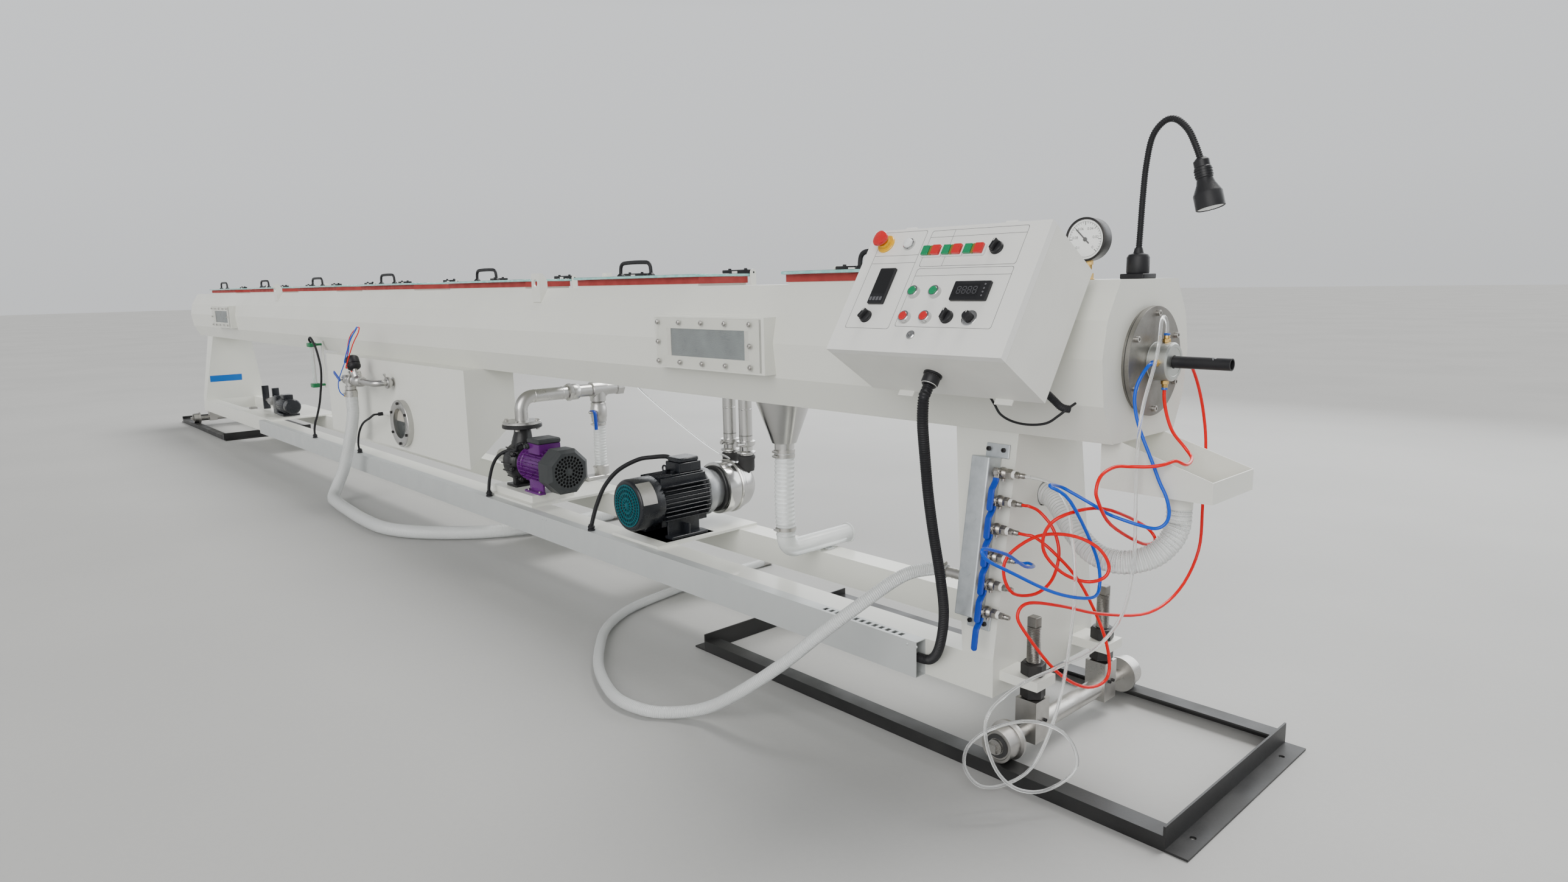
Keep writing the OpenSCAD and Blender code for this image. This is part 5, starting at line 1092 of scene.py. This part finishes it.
# Vacuum pump: a black motor with long cooling fins and a teal fan grille towards the operator, flanged
# to a stainless liquid-ring head. Two polished pipes in clamp unions lead from it to the tank.
vac = np.array([-1840.0, -270.0, 395.0])
enamel = finish("black_enamel", (0.009, 0.010, 0.013), (0.028, 0.031, 0.036), 0.4, 0.20, 0.12, 12, 240,
                relief=0.0003, mirror=0.36)
teal = finish("teal_grille", (0.0, 0.095, 0.115), (0.0, 0.045, 0.06), 0.4, 0.34, 0.1, 30, 500,
              relief=0.0001, mirror=0.2)
body = lathe(vac, back, ([(81, 1), (88, 0), (94, 3), (98, 10), (98, 104), (96, 108), (86, 109)], 72),
             ([(84, 100), (84, 326)], 72))
for side in (-1, 1):
    for offset in np.linspace(-64, 64, 9):
        root = math.sqrt(82 ** 2 - offset ** 2)
        reach = min(96.0, math.sqrt(112 ** 2 - offset ** 2))
        low, high = (root, reach) if side > 0 else (-reach, -root)
        lying = pad([-offset - 1.7, low, 108], [-offset + 1.7, high, 318], 1.2, 0.6, 2)
        body.append(set_in(lying, vac, [up, along, back]))
        if side < 0 or abs(offset) > 50:
            body.append(set_in(lying, vac, about_x(-np.pi / 2)))
box_front, box_back = -60, 45
body += [pad([-1882, box_front + 4, 468], [-1798, box_back - 4, 492], 4, 2),
         pad([-1886, box_front, 492], [-1794, box_back, 528], 6, 2),
         pad([-1882, box_front + 4, 528], [-1798, box_back - 4, 546], 14, 9)]
body += [pad([x - 4, box_front - 22, 478], [x + 4, box_front + 2, 500], 2, 1) for x in (-1860, -1820)]
for s in (-1, 1):
    body += [pad([vac[0] + s * 88 - 24, -152, 260], [vac[0] + s * 88 + 24, 18, 271], 4, 1.5),
             pad([vac[0] + s * 68 - 5, -140, 269], [vac[0] + s * 68 + 5, 6, 345], 3, 1.5),
             set_in(pad([0, -4, 0], [40, 4, 38], 3, 1.5), [vac[0] + s * 70, -67, 270], np.diag([s, s, 1]))]
a = np.linspace(0, 2 * np.pi, 25)[:-1]
ring = np.array([[vac[0] + (12 + 3.6 * np.cos(v)) * np.cos(a), -96 + 3.6 * np.sin(v) + 0 * a,
                  510 + (12 + 3.6 * np.cos(v)) * np.sin(a)] for v in np.linspace(0, 2 * np.pi, 11)[:-1]])
body += [shell(ring.transpose(0, 2, 1), closed=True),
         turned([(9, 474), (9, 499)], [vac[0], -96, 0], up, 16)]
piece("vacuum_motor_body", body, enamel, node="vacuum_pump_motor")


def slot_hole(inner, outer, angle, width):
    """A rounded slot that points to the centre: two half circles joined."""
    a = np.linspace(-np.pi / 2, np.pi / 2, 6)
    c, s = math.cos(angle), math.sin(angle)
    flat = np.vstack([np.column_stack([outer + width * np.cos(a), width * np.sin(a)]),
                      np.column_stack([inner - width * np.cos(a), -width * np.sin(a)])])
    return flat @ np.array([[c, s], [-s, c]])


rows = ((15.5, 22.5, 12, 3.0, 0.0), (35, 41, 22, 4.0, 0.1), (54, 57.5, 32, 4.3, 0.0),
        (70, 71, 40, 4.5, 0.05))
slots = [slot_hole(inner, outer, a, width) for inner, outer, count, width, turn in rows
         for a in np.linspace(0, 2 * np.pi, count + 1)[:-1] + turn]
grille = [perforated(circle(80, 72), slots, vac + [0, -1.5, 0], [along, up, back], 3)]
grille += [turned([(8, -3.5), (10, -2.5), (10, 0)], vac, back, 24)]
grille += [turned([(r - 1.2, -2.6), (r + 1.2, -2.6), (r + 1.2, -1), (r - 1.2, -1)], vac, back, 72,
                  closed=True) for r in (28.5, 47.5, 63.5)]
piece("vacuum_grille", grille, teal)
about = np.radians(np.linspace(8, 62, 12))
plate = np.array([np.column_stack([vac[0] + r * np.cos(about), np.full(12, y), vac[2] + r * np.sin(about)])
                  for y, r in ((-262, 98.1), (-262, 98.9), (-200, 98.9), (-200, 98.1))])
piece("blank_plate", [shell(plate)], bright)
piece("vacuum_inside", [turned([(82, 3.5), (82, 8)], vac, back, 48)], dark)
aluminium = finish("cast_aluminium", (0.40, 0.41, 0.42), (0.28, 0.29, 0.30), 0.5, 0.36, 0.15, 20, 300,
                   relief=0.0003, metallic=0.9)
bell = [(84, 322), (95, 328), (96, 332), (96, 352), (90, 366), (78, 384), (78, 401)]
piece("vacuum_bell", [turned(bell, vac, back, 64)], aluminium)
disc = [(60, 399), (90, 401), (92, 403), (92, 412), (89, 414)]
piece("vacuum_flange", [turned(disc, vac, back, 64)], cast_black)
polished = finish("polished_stainless", (0.62, 0.615, 0.60), (0.46, 0.455, 0.44), 0.35, 0.10, 0.14, 10, 220,
                  (1, 1, 5), 0.00006, 1.0)
head = [turned([(94, 413), (103, 415), (104, 418), (104, 468), (102, 472), (99, 474), (104, 476),
                (107, 479), (107, 492), (105, 495), (100, 497), (97, 520), (91, 540), (76, 560), (52, 572),
                (20, 575)], vac, back, 72)]
piece("vacuum_head", head, polished, node="vacuum_pump_head")
ports, pipes = [], []
arc = np.linspace(0, np.pi / 2, 11)
pipe_y = 270
for s in (-1, 1):
    x = vac[0] + s * 50
    ports += lathe([x, pipe_y, 0], up,
                   ([(31, 455), (33, 470), (33, 500), (36, 506), (36, 514), (31, 518)], 32))
    pipes += lathe([x, pipe_y, 0], up,
                   ([(27, 510), (27, 522), (38, 526), (39, 528), (39, 531), (38, 533), (27, 537), (27, 553),
                     (34, 557), (35, 560), (35, 566), (34, 569), (27, 573), (27, 600)], 40),
                   ([(37.5, 563), (37.5, 575)], 40))
    pipes += lathe([x + 30, pipe_y - 34, 569], front, ([(5, 0), (5, 30), (8, 31), (8, 38)], 8))
    elbow = np.column_stack([np.full(11, x), pipe_y + s * 40 * (1 - np.cos(arc)), 940 + 40 * np.sin(arc)])
    rise = np.vstack([[x, pipe_y, 595], [x, pipe_y, 760], elbow])
    if s < 0:
        rise = np.vstack([rise, [x, 222, 980], [x, 206, 980]])
    pipes.append(carried(rise, circle(27, 40)))
    pipes.append(turned([(27.2, 700), (28, 702), (28, 704), (27.2, 706)], [x, pipe_y, 0], up, 40))
piece("vacuum_ports", ports, rubber)
piece("vacuum_pipe_run", pipes, polished, node="vacuum_pipes")
seal_line = smooth_route([[-2330, 100, 818], [-2325, 102, 800], [-2290, 112, 762], [-2200, 135, 700],
                          [-2080, 165, 625], [-1960, 195, 555], [-1890, 214, 520], [-1852, 226, 505],
                          [-1845, 230, 490]], 6)
piece("seal_water_line", [carried(seal_line, circle(4, 12))], tube_clear)

# Drain under the trough: a polished steel funnel, then a clear ribbed hose held by two band clamps,
# which turns back over the base beam.
drain_x = -1270
funnel = [turned([(38, 665), (42, 662), (99, 818), (96, 818), (38, 668)], [drain_x, 0, 0], up, 72,
                 closed=True),
          turned([(30, 618), (34, 618), (34, 664), (30, 668)], [drain_x, 0, 0], up, 48, closed=True)]
piece("drain_funnel", funnel, polished, node="drain_cone")
low = 286
arc = np.linspace(0, np.pi / 2, 10)
fall_route = [[drain_x, sway, z] for sway, z in ((0, 640), (0, 600), (-3, 520), (-3, 430), (0, 372))]
elbow = np.column_stack([np.full(10, drain_x), 45 - 45 * np.cos(arc), 331 - 45 * np.sin(arc)])
hose = np.vstack([smooth_route(fall_route, 10), elbow[:1]])
piece("drain_hose", [corrugated(hose, 35, 3.2, 15)], translucent, node="drain_pipe")
stub = [carried(np.vstack([[drain_x, 0, 380], [drain_x, 0, 350], elbow,
                           [[drain_x, y, low] for y in (120, 200, 306)]]), circle(32.5, 40)),
        turned([(32, 305), (37, 306), (37, 309), (32, 310)], [drain_x, 0, low], back, 40),
        pad([drain_x - 30, 180, 250], [drain_x + 30, 210, 256], 3, 1)]
piece("drain_stub", stub, translucent)
clamps = [shape for z in (612, 628, 356) for shape in band_clamp([drain_x, 0, z], up, 35.2)]
piece("drain_clamps", clamps, bright)

# Sight glass and level sensor on the water box: a stainless ring with six socket screws over a glass
# disc, the water behind it as a near-black sheet of painted shade, and a sensor in a white collar.
sight = np.array([-3990.0, -280.0, 495.0])
rim = [turned([(80, -28), (80, -1), (82, 0), (123, 0), (125, -2), (125, -30)], sight, front, 80,
              closed=True)]
piece("sight_ring", rim, steel, node="sight_flange")
around = np.radians(np.arange(30, 360, 60))
screw = [(7.5, 0), (7.5, 6.5), (6.6, 7.5), (3.6, 7.5), (3.6, 4)]
screws = [turned(screw, sight + [107 * math.cos(a), 0, 107 * math.sin(a)], front, 20) for a in around]
piece("sight_screws", screws, black_steel)
clear_glass = finish("sight_glass", (0.20, 0.23, 0.22), (0.12, 0.14, 0.14), 0.2, 0.03, 0.02, relief=0.0,
                     alpha=0.10)
piece("sight_pane", [turned([(79.5, -16), (79.5, -8)], sight, front, 64)], clear_glass)
# The water is a near-black sheet: painted shade of the closed box behind the glass.
shaded_water = finish("box_water", (0.006, 0.008, 0.009), (0.02, 0.022, 0.021), 0.5, 0.25, 0.05, 14, 60,
               relief=0.0005, mirror=0.2)
lining = finish("box_lining", (0.62, 0.57, 0.49), (0.44, 0.39, 0.33), 0.5, 0.45, 0.1, 16, 120)
for name, material, first, last in (("sight_water", shaded_water, np.pi - 0.1, 2 * np.pi + 0.1),
                                    ("sight_lining", lining, 0.1, np.pi - 0.1)):
    a = np.linspace(first, last, 30)
    across, over = sight[0] + 78 * np.cos(a), sight[2] + 78 * np.sin(a)
    piece(name, [shell(np.array([np.column_stack([across, np.full(30, y), over]) for y in (-259, -256)]))],
          material)
sensor = np.array([-4200.0, -250.0, 530.0])
piece("sensor_collar", [turned([(17, 0), (17, 5), (13, 10), (11, 34), (10, 36)], sensor, front, 28)],
      white_nylon)
piece("sensor_body", [turned([(9.6, 34), (10.2, 36), (10.2, 58), (8.8, 60)], sensor, front, 28)], moulded)

# Fill valve: welded stainless bends and a tee in clamp unions, an angle-seat valve under a black
# pneumatic head, a ball valve with a blue lever, and the hose clamped below.
fill_x, fill_y, fill_z, tee_x = -4097, -350, 706, -4475
arc = np.linspace(0, np.pi / 2, 11)
into_box = np.vstack([[fill_x, -250, fill_z], [fill_x, -290, fill_z],
                      np.column_stack([fill_x - 45 + 45 * np.cos(arc), -305 - 45 * np.sin(arc),
                                       np.full(11, fill_z)]),
                      [-4200, fill_y, fill_z], [-4400, fill_y, fill_z], [tee_x - 92, fill_y, fill_z]])
valve_at = np.array([tee_x + 130, fill_y, fill_z])
raised = np.array([-math.sin(math.radians(30)), 0, math.cos(math.radians(30))])
union = [(17, 0), (26, 2), (27.5, 4), (27.5, 12), (26, 14), (17, 16)]
pipes = [carried(into_box, circle(17, 32)),
         *lathe([fill_x, -250, fill_z], front, ([(28, 0), (28, 4), (20, 9)], 32),
                ([(17, 20), (30, 22), (32, 25), (32, 37), (30, 40), (17, 42)], 32)),
         turned([(20, -34), (28, -26), (32, -8), (32, 8), (28, 26), (20, 34)], valve_at, along, 32),
         turned([(24, 10), (24, 34), (26, 38), (26, 50), (20, 54), (12, 56), (12, 78)], valve_at,
                raised, 28),
         turned([(24, -60), (24, 4)], [tee_x, fill_y, fill_z], up, 28),
         turned([(22, -2), (29, -6), (29, -26), (22, -30)], [tee_x, fill_y, fill_z - 30], up, 28),
         turned([(20, -82), (27, -78), (28, -68), (28, -42), (27, -34), (20, -30)],
                [tee_x, fill_y, fill_z], along, 6),
         turned([(7, 16), (7, 38), (5, 40)], [tee_x - 55, fill_y, fill_z], front, 16)]
pipes += [turned(union, [x, fill_y, fill_z], along, 32) for x in (tee_x + 30, tee_x + 75, tee_x + 178)]
for x, y in ((tee_x + 37, fill_y), (tee_x + 184, fill_y), (fill_x, -282)):
    pipes += [turned([(4, 22), (4, 40), (7, 42), (7, 50), (5, 52)], [x, y, fill_z], (0, -0.3, 1), 10)]
piece("fill_pipework", pipes, steel, node="fill_valve")
domed = [turned([(15, 72), (28, 76), (34, 82), (36, 90), (36, 96), (33, 97), (33, 104), (36, 105),
                 (36, 136), (33, 144), (26, 149), (12, 151)], valve_at, raised, 40)]
domed += [turned([(5, 33), (5, 39)], valve_at + raised * h, (0.3, -1, 0), 12) for h in (88, 122)]
piece("fill_head", domed, moulded)
hose_end = [turned([(32.6, -96), (32.6, -62), (34, -61), (34, -59), (25, -58)],
                   [tee_x, fill_y, fill_z], up, 40)]
hose_end += band_clamp([tee_x, fill_y, fill_z - 84], up, 32.8, 14)
piece("fill_clamp", hose_end, bright)
fill_lever = set_in(pad([-92, -10, -3], [12, 10, 2.4], 8, 2.2),
                    [tee_x - 55, fill_y - 40, fill_z], about_z(math.radians(-25)) @ facing)
piece("fill_lever", [fill_lever], vinyl)
air_lines = (("air_line_red", tube_red, 88, "red_tubing",
              [[-4293, -378, 909], [-4230, -366, 972], [-4234, -356, 1002], [-4311, -346, 994],
               [-4441, -334, 956], [-4537, -322, 901], [-4610, -308, 823], [-4629, -296, 758],
               [-4612, -280, 722], [-4600, -262, 712]]),
             ("air_line_blue", tube_blue, 122, "blue_tubing",
              [[-4329, -378, 928], [-4254, -366, 992], [-4285, -352, 1003], [-4345, -344, 979],
               [-4481, -330, 924], [-4565, -318, 847], [-4700, -306, 768], [-4846, -296, 668],
               [-4882, -284, 605], [-4876, -262, 575]]))
for name, material, rise, colour_slot, onward in air_lines:
    from_valve = valve_at + raised * rise + np.array([8, -36, 0])
    air = [from_valve, from_valve + [2, -9, 6], *onward]
    piece(name, [carried(smooth_route(air, 6), circle(3, 10))], material)
nipple = [(8, 0), (8, 3), (5.5, 4), (5.5, 12), (4, 13)]
elbows = [turned(nipple, [x, -250, z], front, 12) for x, z in ((-4600, 712), (-4876, 575))]
piece("air_elbows", elbows, brass)

# Level gauge: a clear sight tube with its float between two green plastic blocks, with two thin guard
# rods beside it and a white plate behind.
gauge_x, gauge_front = -5450, -250
green = finish("green_moulding", (0.0, 0.17, 0.055), (0.0, 0.10, 0.03), 0.35, 0.32, 0.12, 20, 400,
               relief=0.0001, coat=0.15)
blocks, rods = [], []
for z in (600, 860):
    blocks += [pad([gauge_x - 30, gauge_front - 24, z - 13], [gauge_x + 30, gauge_front + 24, z + 13],
                   10, 3),
               turned([(8, 0), (8, 62)], [gauge_x, gauge_front, z], back, 20)]
    rods += [turned([(5, 9), (5, 14), (3, 15)], [gauge_x + dx, gauge_front, z],
                    (0, 0, 1 if z > 700 else -1), 12) for dx in (-22, 22)]
piece("gauge_blocks", blocks, green, node="level_gauges")
rods += [turned([(2.6, 606), (2.6, 854)], [gauge_x + dx, gauge_front, 0], up, 12) for dx in (-22, 22)]
piece("gauge_rods", rods, bright)
gauge_glass = finish("gauge_glass", (0.70, 0.76, 0.74), (0.55, 0.60, 0.59), 0.3, 0.05, 0.03, relief=0.0,
                     coat=0.5, alpha=0.45)
piece("gauge_tube", [turned([(13.5, 608), (13.5, 852)], [gauge_x, gauge_front, 0], up, 32)], gauge_glass)
piece("gauge_float", [turned([(4, 640), (9, 646), (9, 668), (4, 674)], [gauge_x, gauge_front, 0], up, 24)],
      white_nylon)
plate = [pad([gauge_x - 16, -190, 580], [gauge_x + 16, -184, 884], 2, 1)]
piece("gauge_plate", plate, white)

# A strip of plain blue film on the inner face of the far column. It lies on the sheet and leans with
# it, towards the other end of the machine.
blue_film = finish("blue_film", (0.0, 0.13, 0.50), (0.0, 0.10, 0.40), 0.3, 0.28, 0.08, 8, 300,
                   relief=0.00003)
face_up = np.array([95.0, 0, 568.0]) / math.hypot(95, 568)
strip = set_in(pad([-196, 0, 0.1], [60, 58, 0.7], 4, 0.2),
               [-8658.4, 0, 409], [back, face_up, np.cross(back, face_up)])
piece("column_strip", [strip], blue_film)

# Travel drive between the beams: a black geared motor turns a long shaft through a grey coupling,
# carried by two posts on the base plate.
drive = np.array([-6700.0, -60.0, 335.0])
drive_body = [turned([(40, -262), (56, -258), (58, -250), (58, -70), (56, -66), (50, -64), (50, -60),
                      (57, -56), (58, -52), (58, -8), (50, 0), (30, 2)], drive, along, 48)]
drive_body += fins(drive, 22, 54, 62, [[(-244, -74)]], 2.6)
drive_body += [pad(drive + [-360, -50, -75], drive + [-250, 50, 60], 10, 5),
               pad(drive + [-352, -38, 58], drive + [-262, 38, 66], 8, 3),
               turned([(34, -372), (34, -358)], drive, along, 32),
               pad(drive + [-190, -34, 52], drive + [-100, 34, 84], 6, 3),
               pad(drive + [-230, -60, -75], drive + [-60, 60, -58], 6, 3),
               pad(drive + [-210, -12, -60], drive + [-80, 12, -40], 4, 2)]
drive_body += [pad(drive + [x, -25, -75], drive + [x + 22, 25, 114], 4, 2) for x in (-450, -740)]
piece("drive_body", drive_body, enamel, node="travel_drive")
shaft = [turned([(12, -772), (13, -770), (13, -352), (12, -350)], drive, along, 28)]
piece("drive_shaft", shaft, bright)
bulb = finish("grey_coupling", (0.22, 0.22, 0.215), (0.12, 0.12, 0.115), 0.4, 0.4, 0.15, 20, 300,
              relief=0.0003)
bulb_profile = [(14, -592), (24, -590), (31, -582), (34, -564), (34, -528), (31, -508), (24, -501),
                (14, -499)]
piece("drive_coupling", [turned(bulb_profile, drive, along, 40)], bulb)
dress(bright, "hose_couplings")
